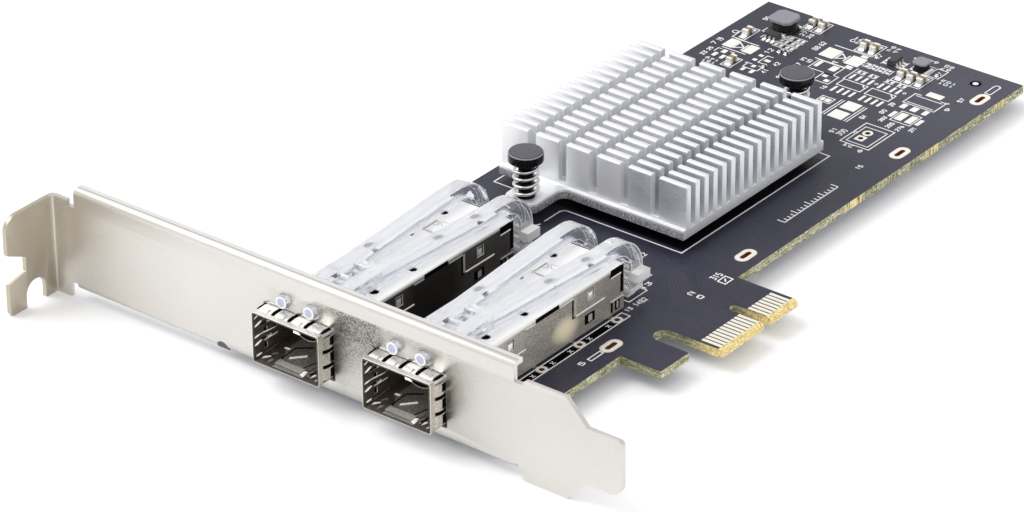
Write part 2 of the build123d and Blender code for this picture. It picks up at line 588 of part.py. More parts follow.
with BuildPart() as heatsink:
    base_x = (SINK_X0 - SINK_LIP, SINK_X1 + SINK_LIP)
    with BuildSketch(level(SINK_LOW)) as foot:
        with Locations((SINK_CX, SINK_CY)):
            Rectangle(base_x[1] - base_x[0], SINK_Y1 - SINK_Y0)
        for (px, py), s in zip(PINS, (-1, 1)):
            edge = base_x[0] if s < 0 else base_x[1]
            end = px + s * EAR_END
            with Locations(((end + edge) / 2, py)):
                Rectangle(abs(edge - end), 2 * EAR_HALF_W)
        for (px, py), s in zip(PINS, (-1, 1)):
            edge = base_x[0] if s < 0 else base_x[1]
            for side in (-1, 1):
                fillet(foot.vertices().sort_by_distance((edge, py + side * EAR_HALF_W, 0))[0], 1.6)
                fillet(foot.vertices().sort_by_distance((px + s * EAR_END,
                                                         py + side * EAR_HALF_W, 0))[0], 2.0)
        with Locations(*PINS):
            Circle(1.6, mode=Mode.SUBTRACT)
    extrude(amount=SINK_BASE)
    fin_pitch = (SINK_X1 - SINK_X0 - FIN_T) / (FIN_COUNT - 1)
    with BuildSketch(along(SINK_CY)) as comb:
        for i in range(FIN_COUNT):
            with Locations((SINK_X0 + FIN_T / 2 + i * fin_pitch,
                            (SINK_LOW + SINK_BASE - 0.2 + SINK_TOP) / 2)):
                Rectangle(FIN_T, SINK_TOP - SINK_LOW - SINK_BASE + 0.2)
        fillet(comb.vertices().group_by(Axis.Y)[-1], 0.4)
    extrude(amount=(SINK_Y1 - SINK_Y0) / 2, both=True)
    with BuildSketch(level(CROSS_CUT_Z)) as cross_cuts:
        y = SINK_Y0
        for w in COLUMNS[:-1]:
            y += w
            with Locations((SINK_CX, y + CROSS_W / 2)):
                Rectangle(SINK_X1 - SINK_X0 + 4, CROSS_W)
            y += CROSS_W
    extrude(amount=SINK_TOP, mode=Mode.SUBTRACT)
keep(heatsink.part, "heatsink")

for index, (px, py) in enumerate(PINS, start=1):
    axis = Axis((X0 + px, Y0 + py, 0), (0, 0, 1))
    with BuildPart() as push_pin:
        with BuildSketch(along(py)) as half:
            with BuildLine():
                Polyline((px, PIN_HEAD_Z1), (px + PIN_HEAD_R, PIN_HEAD_Z1),
                         (px + PIN_HEAD_R, PIN_HEAD_Z0 + 0.2), (px + PIN_HEAD_R - 0.3, PIN_HEAD_Z0),
                         (px + PIN_SHAFT_R, PIN_HEAD_Z0), (px + PIN_SHAFT_R, -1.62),
                         (px + 1.95, -1.62), (px + 1.95, -1.95), (px + 0.9, -3.8),
                         (px, -3.8), close=True)
            make_face()
            fillet(half.vertices().sort_by_distance((px + PIN_HEAD_R, PIN_HEAD_Z1, 0))[0], 0.5)
        revolve(axis=axis)
        # split of the barbed tip
        with BuildSketch(along(py)):
            with Locations((px, -2.0)):
                Rectangle(0.7, 4.2)
        extrude(amount=3, both=True, mode=Mode.SUBTRACT)
    keep(push_pin.part, "push_pin_%d" % index)

    with BuildPart() as pin_spring:
        with BuildLine():
            coil = Helix(pitch=1.40, height=5.95, radius=SPRING_R,
                         center=(X0 + px, Y0 + py, Z0 + SINK_LOW + SINK_BASE + 0.33))
        with BuildSketch(Plane(origin=coil @ 0, z_dir=coil % 0)):
            Circle(SPRING_WIRE)
        sweep()
    keep(pin_spring.part, "pin_spring_%d" % index)

# ---------------------------------------------------------------------------
# Bracket screws: pan head on the board, shank into the ear's collar
# ---------------------------------------------------------------------------
with BuildPart() as bracket_screws:
    with BuildSketch(level(0)):
        with Locations(*[(SCREW_X, y) for y in SCREW_Y]):
            Circle(2.6)
    extrude(amount=1.7)
    fillet(bracket_screws.edges().group_by(Axis.Z)[-1], 0.6)
    with BuildSketch(level(-3.5)):
        with Locations(*[(SCREW_X, y) for y in SCREW_Y]):
            Circle(1.46)
    extrude(amount=3.5)
    with BuildSketch(level(0.9)):
        with Locations(*[(SCREW_X, y) for y in SCREW_Y]):
            Rectangle(2.6, 0.5)
            Rectangle(0.5, 2.6)
    extrude(amount=1.0, mode=Mode.SUBTRACT)
keep(bracket_screws.part, "bracket_screws")

# ---------------------------------------------------------------------------
# Small parts at the far end of the board
# ---------------------------------------------------------------------------
for name, (cx, cy), side, corner, height, waist in (
        ("power_inductor", POWER_COIL, 4.9, 1.0, 2.8, 1.9),
        ("small_inductor", SMALL_COIL, 3.0, 0.6, 1.8, 1.15)):
    with BuildPart() as coil_part:
        with BuildSketch(level(0)) as base_plate:
            with Locations((cx, cy)):
                Rectangle(side, side)
            chamfer(base_plate.vertices(), corner)
        extrude(amount=height * 0.3)
        with BuildSketch(level(height * 0.3)):
            with Locations((cx, cy)):
                Circle(waist)
        extrude(amount=height * 0.42)
        with BuildSketch(level(height * 0.72)) as cap_plate:
            with Locations((cx, cy)):
                Rectangle(side, side)
            chamfer(cap_plate.vertices(), corner)
        extrude(amount=height * 0.28)
    keep(coil_part.part, name)

# regulators: moulded bodies with six gull-wing leads
with BuildPart() as regulator_1:
    cx, cy = REGULATOR_1
    with BuildSketch(level(0.08)) as body_1:
        with Locations((cx, cy)):
            Rectangle(1.6, 2.9)
    extrude(amount=1.05, taper=4)
    for dy in (-0.95, 0, 0.95):
        with BuildSketch(along(cy + dy)):
            for s in (-1, 1):
                with BuildLine():
                    Polyline((cx + s * 0.7, 0.70), (cx + s * 1.05, 0.70), (cx + s * 1.15, 0.16),
                             (cx + s * 1.50, 0.16), (cx + s * 1.50, 0.0), (cx + s * 1.02, 0.0),
                             (cx + s * 0.93, 0.54), (cx + s * 0.7, 0.54), close=True)
                make_face()
        extrude(amount=0.2, both=True)
keep(regulator_1.part, "regulator_1")

with BuildPart() as regulator_2:
    cx, cy = REGULATOR_2
    with BuildSketch(level(0.08)) as body_2:
        with Locations((cx, cy)):
            Rectangle(2.9, 1.6)
    extrude(amount=1.05, taper=4)
    for dx in (-0.95, 0, 0.95):
        with BuildSketch(across(cx + dx)):
            for s in (-1, 1):
                with BuildLine():
                    Polyline((cy + s * 0.7, 0.70), (cy + s * 1.05, 0.70), (cy + s * 1.15, 0.16),
                             (cy + s * 1.50, 0.16), (cy + s * 1.50, 0.0), (cy + s * 1.02, 0.0),
                             (cy + s * 0.93, 0.54), (cy + s * 0.7, 0.54), close=True)
                make_face()
        extrude(amount=0.2, both=True)
keep(regulator_2.part, "regulator_2")

with BuildPart() as ceramic_capacitors:
    with BuildSketch(level(0)):
        with Locations(*CAPS):
            Rectangle(2.0, 1.25)
    extrude(amount=1.2)
keep(ceramic_capacitors.part, "ceramic_capacitors")

with BuildPart() as chip_resistors:
    with BuildSketch(level(0)):
        with Locations(*CHIPS_0402):
            Rectangle(1.0, 0.55)
    extrude(amount=0.4)
keep(chip_resistors.part, "chip_resistors")

# solder side: settings memory and clock crystal
with BuildPart() as memory_chip:
    cx, cy = 96.0, 8.0
    with BuildSketch(level(-BOARD_T - 0.1)):
        with Locations((cx, cy)):
            Rectangle(4.9, 3.9)
    extrude(amount=-1.35, taper=4)
    for dx in (-1.905, -0.635, 0.635, 1.905):
        with BuildSketch(across(cx + dx)):
            for s in (-1, 1):
                with BuildLine():
                    z = -BOARD_T
                    Polyline((cy + s * 1.8, z - 0.85), (cy + s * 2.25, z - 0.85),
                             (cy + s * 2.45, z - 0.2), (cy + s * 3.0, z - 0.2),
                             (cy + s * 3.0, z), (cy + s * 2.3, z), (cy + s * 2.1, z - 0.65),
                             (cy + s * 1.8, z - 0.65), close=True)
                make_face()
        extrude(amount=0.21, both=True)
keep(memory_chip.part, "memory_chip")

with BuildPart() as crystal:
    with BuildSketch(level(-BOARD_T)):
        with Locations((66.0, 24.0)):
            RectangleRounded(3.2, 2.5, 0.2)
    extrude(amount=-0.8)
keep(crystal.part, "crystal")
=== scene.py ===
import math
import random

import bmesh
import bpy
from mathutils import Matrix, Vector


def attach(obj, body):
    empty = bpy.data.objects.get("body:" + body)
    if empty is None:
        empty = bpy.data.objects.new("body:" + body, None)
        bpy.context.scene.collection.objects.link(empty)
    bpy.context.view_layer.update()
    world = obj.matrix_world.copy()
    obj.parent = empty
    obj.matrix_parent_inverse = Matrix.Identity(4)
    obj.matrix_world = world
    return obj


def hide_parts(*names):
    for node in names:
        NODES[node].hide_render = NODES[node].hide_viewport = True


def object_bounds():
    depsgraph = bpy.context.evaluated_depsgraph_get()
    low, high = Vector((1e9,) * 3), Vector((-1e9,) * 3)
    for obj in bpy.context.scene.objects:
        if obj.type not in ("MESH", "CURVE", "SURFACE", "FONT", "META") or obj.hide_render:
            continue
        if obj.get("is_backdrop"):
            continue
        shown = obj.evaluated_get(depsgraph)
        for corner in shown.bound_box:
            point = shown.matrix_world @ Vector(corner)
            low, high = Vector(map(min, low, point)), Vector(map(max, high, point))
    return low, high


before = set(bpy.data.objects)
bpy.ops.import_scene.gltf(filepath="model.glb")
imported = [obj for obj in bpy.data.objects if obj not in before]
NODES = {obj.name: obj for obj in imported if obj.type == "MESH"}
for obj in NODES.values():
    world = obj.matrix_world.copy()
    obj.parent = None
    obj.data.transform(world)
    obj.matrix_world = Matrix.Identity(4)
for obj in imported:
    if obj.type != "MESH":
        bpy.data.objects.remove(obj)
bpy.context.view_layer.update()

scene = bpy.context.scene
random.seed(7)

# ---------------------------------------------------------------------------
# Card coordinates, in millimetres: x from the bracket's face along the board,
# y from the board's lower edge, z from its component side. The frame's origin
# is at the middle of the footprint, at the bracket's lowest edge.
# ---------------------------------------------------------------------------
X0, Y0, Z0 = -72.035, -33.55, 4.17
BOARD_T = 1.57
PORTS = {"port_1": (38.95, 0.30), "port_2": (15.80, 0.0)}   # centre y and rise
PIN_X = (13.4, 23.4, 33.5, 43.7)
CAGE_HALF, CAGE_TOP = 6.92, 9.35


def P(x, y, z):
    return Vector(((X0 + x) / 1000, (Y0 + y) / 1000, (Z0 + z) / 1000))


# ---------------------------------------------------------------------------
# Node graph helper
# ---------------------------------------------------------------------------
class Graph:
    """A material with one Principled shader, and short calls to add nodes."""

    def __init__(self, name, color=(0.8, 0.8, 0.8), rough=0.5, metal=0.0, **sockets):
        self.mat = bpy.data.materials.new(name)
        self.mat.use_nodes = True
        self.tree = self.mat.node_tree
        self.tree.nodes.clear()
        self.out = self.tree.nodes.new("ShaderNodeOutputMaterial")
        self.bsdf = self.tree.nodes.new("ShaderNodeBsdfPrincipled")
        self.tree.links.new(self.bsdf.outputs[0], self.out.inputs[0])
        self.set("Base Color", (*color, 1.0))
        self.set("Roughness", rough)
        self.set("Metallic", metal)
        for key, value in sockets.items():
            self.set(key.replace("_", " "), value)
        self.mat.diffuse_color = (*color, 1.0)

    def set(self, socket, value):
        self.bsdf.inputs[socket].default_value = value

    def node(self, kind, props=None, **inputs):
        n = self.tree.nodes.new("ShaderNode" + kind)
        for key, value in (props or {}).items():
            setattr(n, key, value)
        for key, value in inputs.items():
            key = key.replace("_", " ")
            self.feed(n.inputs[key], value)
        return n

    def feed(self, socket, value):
        if isinstance(value, bpy.types.NodeSocket):
            self.tree.links.new(value, socket)
        else:
            socket.default_value = value

    def to(self, socket, value):
        self.feed(self.bsdf.inputs[socket], value)

    def position(self, scale=(1000.0, 1000.0, 1000.0)):
        """Object position in millimetres, stretched by scale / 1000."""
        coord = self.node("TexCoord")
        m = self.node("Mapping", Scale=scale)
        self.feed(m.inputs["Vector"], coord.outputs["Object"])
        return m.outputs["Vector"]

    def card(self):
        """Card x, y and z of the surface point, in millimetres."""
        coord = self.node("TexCoord")
        m = self.node("Mapping", Location=(-X0, -Y0, -Z0), Scale=(1000.0, 1000.0, 1000.0))
        self.feed(m.inputs["Vector"], coord.outputs["Object"])
        s = self.node("SeparateXYZ")
        self.feed(s.inputs[0], m.outputs["Vector"])
        return s.outputs["X"], s.outputs["Y"], s.outputs["Z"]

    def normal(self):
        geo = self.node("NewGeometry")
        s = self.node("SeparateXYZ")
        self.feed(s.inputs[0], geo.outputs["Normal"])
        return s.outputs["X"], s.outputs["Y"], s.outputs["Z"]

    def noise(self, vector, scale, detail=3.0, rough=0.55):
        n = self.node("TexNoise", Scale=scale, Detail=detail, Roughness=rough)
        self.feed(n.inputs["Vector"], vector)
        return n.outputs["Fac"]

    def ramp(self, fac, stops, interpolation="LINEAR"):
        n = self.node("ValToRGB")
        self.feed(n.inputs["Fac"], fac)
        r = n.color_ramp
        r.interpolation = interpolation
        while len(r.elements) < len(stops):
            r.elements.new(0.5)
        for e, (at, color) in zip(r.elements, stops):
            e.position = at
            e.color = (*color, 1.0) if len(color) == 3 else color
        return n.outputs["Color"]

    def mix(self, fac, a, b, mode="MIX"):
        n = self.node("Mix", {"data_type": "RGBA", "blend_type": mode})
        self.feed(n.inputs[0], fac)
        self.feed(n.inputs[6], a if isinstance(a, bpy.types.NodeSocket) else (*a, 1.0)[:4])
        self.feed(n.inputs[7], b if isinstance(b, bpy.types.NodeSocket) else (*b, 1.0)[:4])
        return n.outputs[2]

    def math(self, op, a, b=0.0, clamp=False):
        n = self.node("Math", {"operation": op, "use_clamp": clamp})
        self.feed(n.inputs[0], a)
        self.feed(n.inputs[1], b)
        return n.outputs[0]

    def map(self, value, lo, hi, to_lo, to_hi):
        n = self.node("MapRange")
        for i, v in enumerate((value, lo, hi, to_lo, to_hi)):
            self.feed(n.inputs[i], v)
        return n.outputs[0]

    def within(self, value, lo, hi, soft=0.02):
        """1 between lo and hi, 0 outside."""
        up = self.map(value, lo - soft, lo + soft, 0.0, 1.0)
        down = self.map(value, hi - soft, hi + soft, 1.0, 0.0)
        return self.math("MULTIPLY", up, down)

    def every(self, *masks):
        out = masks[0]
        for m in masks[1:]:
            out = self.math("MULTIPLY", out, m)
        return out

    def either(self, *masks):
        out = masks[0]
        for m in masks[1:]:
            out = self.math("MAXIMUM", out, m)
        return out

    def bump(self, height, strength, distance=0.0001):
        n = self.node("Bump", Strength=strength, Distance=distance)
        self.feed(n.inputs["Height"], height)
        self.to("Normal", n.outputs["Normal"])
        return n.outputs["Normal"]


def grained_metal(name, color, rough, spread=0.1, grain=18.0, bump=0.25, tint=0.06,
                  stretch=(1, 1, 1), metal=1.0):
    """Plated sheet: fine grain in roughness, tint and height."""
    g = Graph(name, color, rough, metal)
    at = g.position(tuple(1000.0 * s for s in stretch))
    fine = g.noise(at, grain, 4.0, 0.6)
    broad = g.noise(at, 0.12, 2.0, 0.5)
    g.to("Roughness", g.map(fine, 0.3, 0.7, rough - spread, rough + spread))
    dark = tuple(c * (1 - tint) for c in color)
    light = tuple(min(1.0, c * (1 + tint)) for c in color)
    spotted = g.mix(g.map(fine, 0.35, 0.65, 0.0, 1.0), dark, light)
    g.to("Base Color", g.mix(g.map(broad, 0.35, 0.65, 0.0, 0.35), spotted, light))
    g.bump(fine, bump, 0.00002)
    return g.mat


def plastic(name, color, rough, grain=3.0, bump=0.2, spread=0.06, tint=0.12, **sockets):
    g = Graph(name, color, rough, 0.0, **sockets)
    at = g.position()
    fine = g.noise(at, grain, 4.0, 0.6)
    g.to("Roughness", g.map(fine, 0.3, 0.7, rough - spread, rough + spread))
    dark = tuple(c * (1 - tint) for c in color)
    light = tuple(min(1.0, c * (1 + tint)) for c in color)
    g.to("Base Color", g.mix(g.map(fine, 0.35, 0.65, 0.0, 1.0), dark, light))
    g.bump(fine, bump, 0.00002)
    return g.mat


# ---------------------------------------------------------------------------
# Materials
# ---------------------------------------------------------------------------
STEEL = grained_metal("bright_steel", (0.72, 0.72, 0.72), 0.20, 0.06, 7.0, 0.2, 0.05)
TIN = grained_metal("tin_plate", (0.93, 0.91, 0.87), 0.40, 0.08, 5.0, 0.5, 0.05, metal=0.35)
SOLDER = grained_metal("solder", (0.90, 0.89, 0.87), 0.22, 0.08, 4.0, 0.5, 0.06, metal=0.85)
GOLD = grained_metal("gold_plate", (0.96, 0.82, 0.56), 0.34, 0.06, 6.0, 0.15, 0.05, metal=0.85)
DUSK = grained_metal("dull_spring", (0.15, 0.135, 0.115), 0.42, 0.08, 5.0, 0.5, 0.25, metal=0.8)
FINGER = grained_metal("pale_gold", (0.97, 0.91, 0.78), 0.36, 0.06, 6.0, 0.15, 0.04, metal=0.55)
DULL = grained_metal("brushed_spring", (0.42, 0.40, 0.37), 0.38, 0.08, 6.0, 0.5, 0.18, metal=0.8, stretch=(1, 4, 1))
COPPER = grained_metal("plated_copper", (0.38, 0.16, 0.06), 0.40, 0.1, 6.0, 0.4, 0.25, metal=0.7)
BRIGHT = grained_metal("bright_edge", (0.90, 0.885, 0.85), 0.30, 0.06, 9.0, 0.2, 0.04, metal=0.7)
DRUM = plastic("ferrite_drum", (0.012, 0.012, 0.013), 0.40, 5.0, 0.5, Specular_IOR_Level=0.2)
LID = plastic("coil_lid", (0.25, 0.255, 0.285), 0.55, 6.0, 0.5, tint=0.12)
CONNECTOR = plastic("connector_black", (0.030, 0.022, 0.014), 0.5, 5.0, 0.2)
CERAMIC = plastic("tan_ceramic", (0.26, 0.205, 0.105), 0.42, 5.0, 0.5)
RESISTOR = plastic("resistor_black", (0.022, 0.022, 0.026), 0.35, 5.0, 0.2)
PAD = plastic("silicone_pad", (0.42, 0.45, 0.50), 0.7, 2.0, 0.5)
LED = plastic("led_lens", (0.80, 0.80, 0.70), 0.2, 3.0, 0.1)
PRINT = plastic("white_print", (0.86, 0.86, 0.85), 0.6, 7.0, 0.6, tint=0.05)
# painted light: pale glints and grey edge lines of the light pipes, dark spots for the holes seen through them, shade
# behind the bracket's notch, and the lens faces' reflected tone
EDGE_GLINT = plastic("painted_edge_glint", (0.93, 0.935, 0.955), 0.25, 5.0, 0.1, tint=0.03)
EDGE_LINE = plastic("painted_edge_line", (0.60, 0.62, 0.68), 0.25, 5.0, 0.1, tint=0.06)
SHADE = plastic("notch_shade", (0.10, 0.10, 0.115), 0.6, 5.0, 0.1, tint=0.10)
HOLE_SPOT = plastic("painted_hole_spot", (0.33, 0.34, 0.36), 0.25, 5.0, 0.1, tint=0.15)
LENS = plastic("lens_face", (0.50, 0.535, 0.70), 0.10, 3.0, 0.1, tint=0.08)
# painted light inside the mouth: the floor and the tongue are given a faint emission, and the cavity glints a strong
# one, as painted highlights
CAVITY = plastic("cavity_floor", (0.22, 0.205, 0.17), 0.5, 2.6, 0.3, tint=0.6,
                 Emission_Color=(0.92, 0.88, 0.76, 1.0), Emission_Strength=0.014)
TONGUE = plastic("brushed_tongue", (0.50, 0.475, 0.435), 0.45, 9.0, 0.5, tint=0.45,
                 Emission_Color=(1.0, 0.97, 0.92, 1.0), Emission_Strength=0.02)
GLINT = plastic("painted_cavity_glint", (0.95, 0.93, 0.88), 0.35, 5.0, 0.1, tint=0.05,
                Emission_Color=(1.0, 0.97, 0.92, 1.0), Emission_Strength=0.30)
VOID = plastic("hole_shade", (0.004, 0.004, 0.004), 0.9, 3.0, 0.1, Specular_IOR_Level=0.0)
TRACE = plastic("covered_copper", (0.038, 0.037, 0.062), 0.42, 5.0, 0.2, Specular_IOR_Level=0.3)

# bracket: satin nickel with a fine mottle, a little darker and warmer on its tab
g = Graph("satin_nickel", (0.735, 0.715, 0.675), 0.42, 1.0)
at = g.position()
x, y, z = g.card()
fine = g.noise(at, 6.0, 5.0, 0.65)
mid = g.noise(at, 0.9, 3.0, 0.6)
broad = g.noise(at, 0.05, 2.0, 0.5)
tone = g.mix(g.map(fine, 0.36, 0.64, 0.0, 1.0), (0.665, 0.645, 0.600), (0.770, 0.752, 0.715))
tone = g.mix(g.map(mid, 0.38, 0.62, 0.0, 0.45), tone, (0.70, 0.68, 0.64))
tone = g.mix(g.map(broad, 0.35, 0.65, 0.0, 0.35), tone, (0.76, 0.745, 0.71))
tab = g.every(g.map(y, 92.0, 92.6, 0.0, 1.0), g.map(x, -0.9, -0.6, 1.0, 0.0))
tone = g.mix(tab, tone, (0.76, 0.69, 0.58), "MULTIPLY")
# painted shade: a speckled darkening beside each mouth, for the mouths' shadow and dark reflection; a darker, coarser
# speckle towards the screw tab
speck = g.noise(at, 4.2, 3.0, 0.75)
front = g.map(x, 0.3, 0.5, 1.0, 0.0)
rise = g.map(z, 1.5, 9.5, 0.20, 1.0)
mouth_shade = g.either(g.every(g.map(y, 19.5, 23.0, 0.0, 1.0), g.map(y, 30.2, 32.6, 1.0, 0.0), rise),
                g.every(g.map(y, 30.0, 30.6, 0.0, 1.0), g.map(y, 31.5, 36.5, 0.85, 0.0), g.map(z, 11.4, 12.6, 0.0, 1.0)),
                g.every(g.map(y, 1.0, 7.2, 0.08, 0.30), g.map(y, 8.0, 9.3, 1.0, 0.0), rise),
                g.every(g.map(y, 8.0, 9.5, 0.0, 1.0), g.map(y, 20.0, 23.5, 1.0, 0.0), g.map(z, 11.2, 12.6, 0.0, 0.45)))
mouth_shade = g.every(mouth_shade, g.map(z, 13.5, 13.9, 1.0, 0.0), front)
tone = g.mix(g.every(mouth_shade, g.map(speck, 0.45, 0.55, 1.0, 0.40)), tone, (0.15, 0.14, 0.122))
# painted highlight: the upper fold's flat is made paler, with a thin painted shade line beside the bend
fold = g.map(z, 16.70, 16.78, 0.0, 1.0)
tone = g.mix(g.every(fold, g.map(x, 1.20, 1.40, 0.0, 0.9)), tone, (0.93, 0.925, 0.915))
tone = g.mix(g.every(fold, g.map(x, 1.08, 1.18, 0.0, 0.75), g.map(x, 1.30, 1.42, 1.0, 0.0)), tone, (0.47, 0.46, 0.44))
# painted shade: a soft dark line along the lower edge, for the floor's contact shadow reflected there
under = g.every(g.map(z, -2.22, -1.78, 0.8, 0.0), g.map(z, -2.5, -2.45, 0.0, 1.0), g.map(y, -5.3, -5.1, 0.0, 1.0), g.map(y, 88.0, 88.2, 1.0, 0.0))
tone = g.mix(under, tone, (0.33, 0.33, 0.34))
far = g.every(g.map(y, 62.0, 90.0, 0.0, 1.0), front)
tone = g.mix(g.every(far, g.map(speck, 0.38, 0.62, 0.62, 0.30)), tone, (0.52, 0.475, 0.40))
g.to("Base Color", tone)
g.to("Roughness", g.map(fine, 0.3, 0.7, 0.36, 0.50))
g.bump(fine, 0.35, 0.00002)
NICKEL = g.mat


def cage_metal(name, mid_y, rise, lit):
    """Bright plated sheet, brushed on its sides; painted shade makes its sides darker and warmer than its tops, and its
    inside dark.
    """
    g = Graph(name, (0.86, 0.85, 0.83), 0.36, 0.75)
    at = g.position()
    x, y, z = g.card()
    nx, ny, nz = g.normal()
    fine = g.noise(at, 6.0, 5.0, 0.7)
    brushed = g.noise(g.position((500.0, 1000.0, 9000.0)), 1.4, 4.0, 0.65)
    # painted light: up-facing faces near white, side faces darker and warmer, lit and shaded copies of the one sheet
    top = g.mix(g.map(fine, 0.36, 0.64, 0.0, 1.0), (0.955, 0.952, 0.955), (0.99, 0.99, 0.992))
    side = g.mix(g.map(g.mix(0.5, fine, brushed), 0.40, 0.60, 0.0, 1.0),
                 (0.27, 0.248, 0.215), (0.60, 0.56, 0.50))
    grit = g.noise(at, 3.6, 3.0, 0.75)
    side = g.mix(g.map(grit, 0.44, 0.50, 0.34, 0.0), side, (0.13, 0.12, 0.10))
    side = g.mix(g.map(grit, 0.50, 0.56, 0.0, 0.30), side, (0.78, 0.75, 0.69))
    side = g.mix(g.map(x, 8.0, 24.0, 0.55, 0.0), side, (0.72, 0.69, 0.64))
    side = g.mix(g.map(x, 34.0, 46.0, 0.0, 0.45), side, (0.30, 0.29, 0.275))
    if not lit:
        # painted shade: port 1's side towards port 2 is made dark, for the shade between the cages
        shaded_flank = g.math("LESS_THAN", y, mid_y - 6.0)
        between_cage_shade = g.mix(g.map(x, 31.0, 35.0, 0.0, 1.0), (0.010, 0.007, 0.006), g.mix(g.map(fine, 0.4, 0.6, 0.0, 1.0), (0.035, 0.032, 0.028), (0.13, 0.125, 0.115)))
        side = g.mix(g.math("MULTIPLY", shaded_flank, g.map(x, 18.0, 21.0, 0.90, 0.97)), side, between_cage_shade)
        gold_reflection = 0.0
    else:
        # painted reflection: a warm gold patch on port 2's sides, for the gold contacts reflected there
        d = g.math("ADD",
                   g.math("POWER", g.math("MULTIPLY", g.math("SUBTRACT", x, 31.6), 0.36), 2.0),
                   g.math("POWER", g.math("MULTIPLY", g.math("SUBTRACT", z, 3.3), 0.55), 2.0))
        grain = g.map(fine, 0.3, 0.7, 0.75, 1.15)
        gold_reflection = g.math("MULTIPLY", g.map(d, 0.15, 2.2, 0.95, 0.0), grain, True)
        side = g.mix(gold_reflection, side, (1.0, 0.90, 0.66))
    # painted highlight: the upper bend of the sides is made as pale as the tops
    side = g.mix(g.map(z, CAGE_TOP + rise - 0.85, CAGE_TOP + rise - 0.60, 0.0, 0.92), side, (0.95, 0.945, 0.935))
    on_side = g.math("MAXIMUM", g.math("GREATER_THAN", g.math("ABSOLUTE", ny), 0.6), g.math("GREATER_THAN", nx, 0.6))
    tone = g.mix(on_side, top, side)
    # painted shade: the inner faces are made dark and warm
    off = g.math("ABSOLUTE", g.math("SUBTRACT", y, mid_y))
    inside = g.every(g.map(off, 6.72, 6.76, 1.0, 0.0),
                     g.map(z, CAGE_TOP + rise - 0.22, CAGE_TOP + rise - 0.18, 1.0, 0.0),
                     g.map(z, 0.32 + rise, 0.36 + rise, 0.0, 1.0), g.map(x, 47.28, 47.32, 1.0, 0.0))
    tone = g.mix(inside, tone, g.mix(g.map(fine, 0.4, 0.6, 0.0, 1.0), (0.055, 0.042, 0.034), (0.21, 0.17, 0.135)))
    rim = g.math("MULTIPLY", g.math("LESS_THAN", nx, -0.8), g.math("LESS_THAN", x, -3.4))
    tone = g.mix(rim, tone, (0.07, 0.05, 0.04))
    g.to("Base Color", tone)
    g.to("Roughness", g.math("ADD", g.map(fine, 0.3, 0.7, 0.28, 0.40), g.math("MULTIPLY", on_side, 0.12)))
    g.to("Metallic", g.math("SUBTRACT", g.math("ADD", 0.22, g.math("MULTIPLY", on_side, 0.35)),
                            g.math("MULTIPLY", 0.40, g.math("MULTIPLY", gold_reflection, on_side))))
    g.bump(g.mix(on_side, fine, g.mix(0.5, fine, brushed)), 0.35, 0.00002)
    return g.mat


def collar_metal(name, mid_y, rise):
    """Spring strip: bright, with its sideways faces, inside the mouth and out, darker and warmer as painted shade."""
    g = Graph(name, (0.82, 0.80, 0.76), 0.28, 0.8)
    at = g.position()
    x, y, z = g.card()
    nx, ny, nz = g.normal()
    fine = g.noise(at, 6.0, 5.0, 0.7)
    tone = g.mix(g.map(fine, 0.36, 0.64, 0.0, 1.0), (0.76, 0.74, 0.70), (0.88, 0.87, 0.84))
    side = g.math("GREATER_THAN", g.math("ABSOLUTE", ny), 0.6)
    tone = g.mix(side, tone, g.mix(g.map(fine, 0.4, 0.6, 0.0, 1.0), (0.50, 0.47, 0.405), (0.74, 0.70, 0.63)))
    rim = g.math("MULTIPLY", g.math("LESS_THAN", nx, -0.8), g.math("LESS_THAN", x, -3.4))
    tone = g.mix(rim, tone, (0.86, 0.83, 0.76))
    g.to("Base Color", tone)
    g.to("Roughness", g.map(fine, 0.3, 0.7, 0.22, 0.38))
    g.bump(fine, 0.3, 0.00002)
    return g.mat


# heatsink: matt cut aluminium; fine saw lines on the block faces, a rough sawn edge below
g = Graph("cut_aluminium", (0.80, 0.81, 0.83), 0.42, 0.55)
at = g.position()
x, y, z = g.card()
nx, ny, nz = g.normal()
fine = g.noise(at, 5.0, 5.0, 0.7)
lines = g.noise(g.position((400.0, 420.0, 5200.0)), 1.6, 4.0, 0.6)
drag = g.noise(g.position((1400.0, 300.0, 5200.0)), 1.1, 3.0, 0.6)
flank = g.math("GREATER_THAN", g.math("ABSOLUTE", nx), 0.7)
rough_noise = g.noise(at, 3.6, 6.0, 0.8)
tone = g.mix(g.map(fine, 0.36, 0.64, 0.0, 1.0), (0.80, 0.81, 0.825), (0.87, 0.88, 0.89))
cut = g.mix(g.map(lines, 0.36, 0.64, 0.0, 1.0), (0.50, 0.515, 0.575), (0.66, 0.675, 0.725))
# painted light: the block faces grow paler towards their foot as painted bounce light, paler again towards +y, and
# almost white on the front faces at the far +y end
cut = g.mix(g.every(g.map(z, 4.2, 7.5, 0.75, 0.0), g.map(y, 14.0, 40.0, 1.0, 0.55)), cut, (0.84, 0.85, 0.88))
cut = g.mix(g.map(y, 22.5, 27.0, 0.0, 0.85), cut, (0.87, 0.875, 0.905))
cut = g.mix(g.every(g.map(y, 34.0, 50.0, 0.0, 1.0), g.map(x, 70.6, 71.4, 1.0, 0.45)), cut, (0.97, 0.97, 0.975))
tone = g.mix(flank, tone, cut)
low = g.map(z, 3.30, 3.42, 1.0, 0.0)
upright = g.math("LESS_THAN", g.math("ABSOLUTE", nz), 0.5)
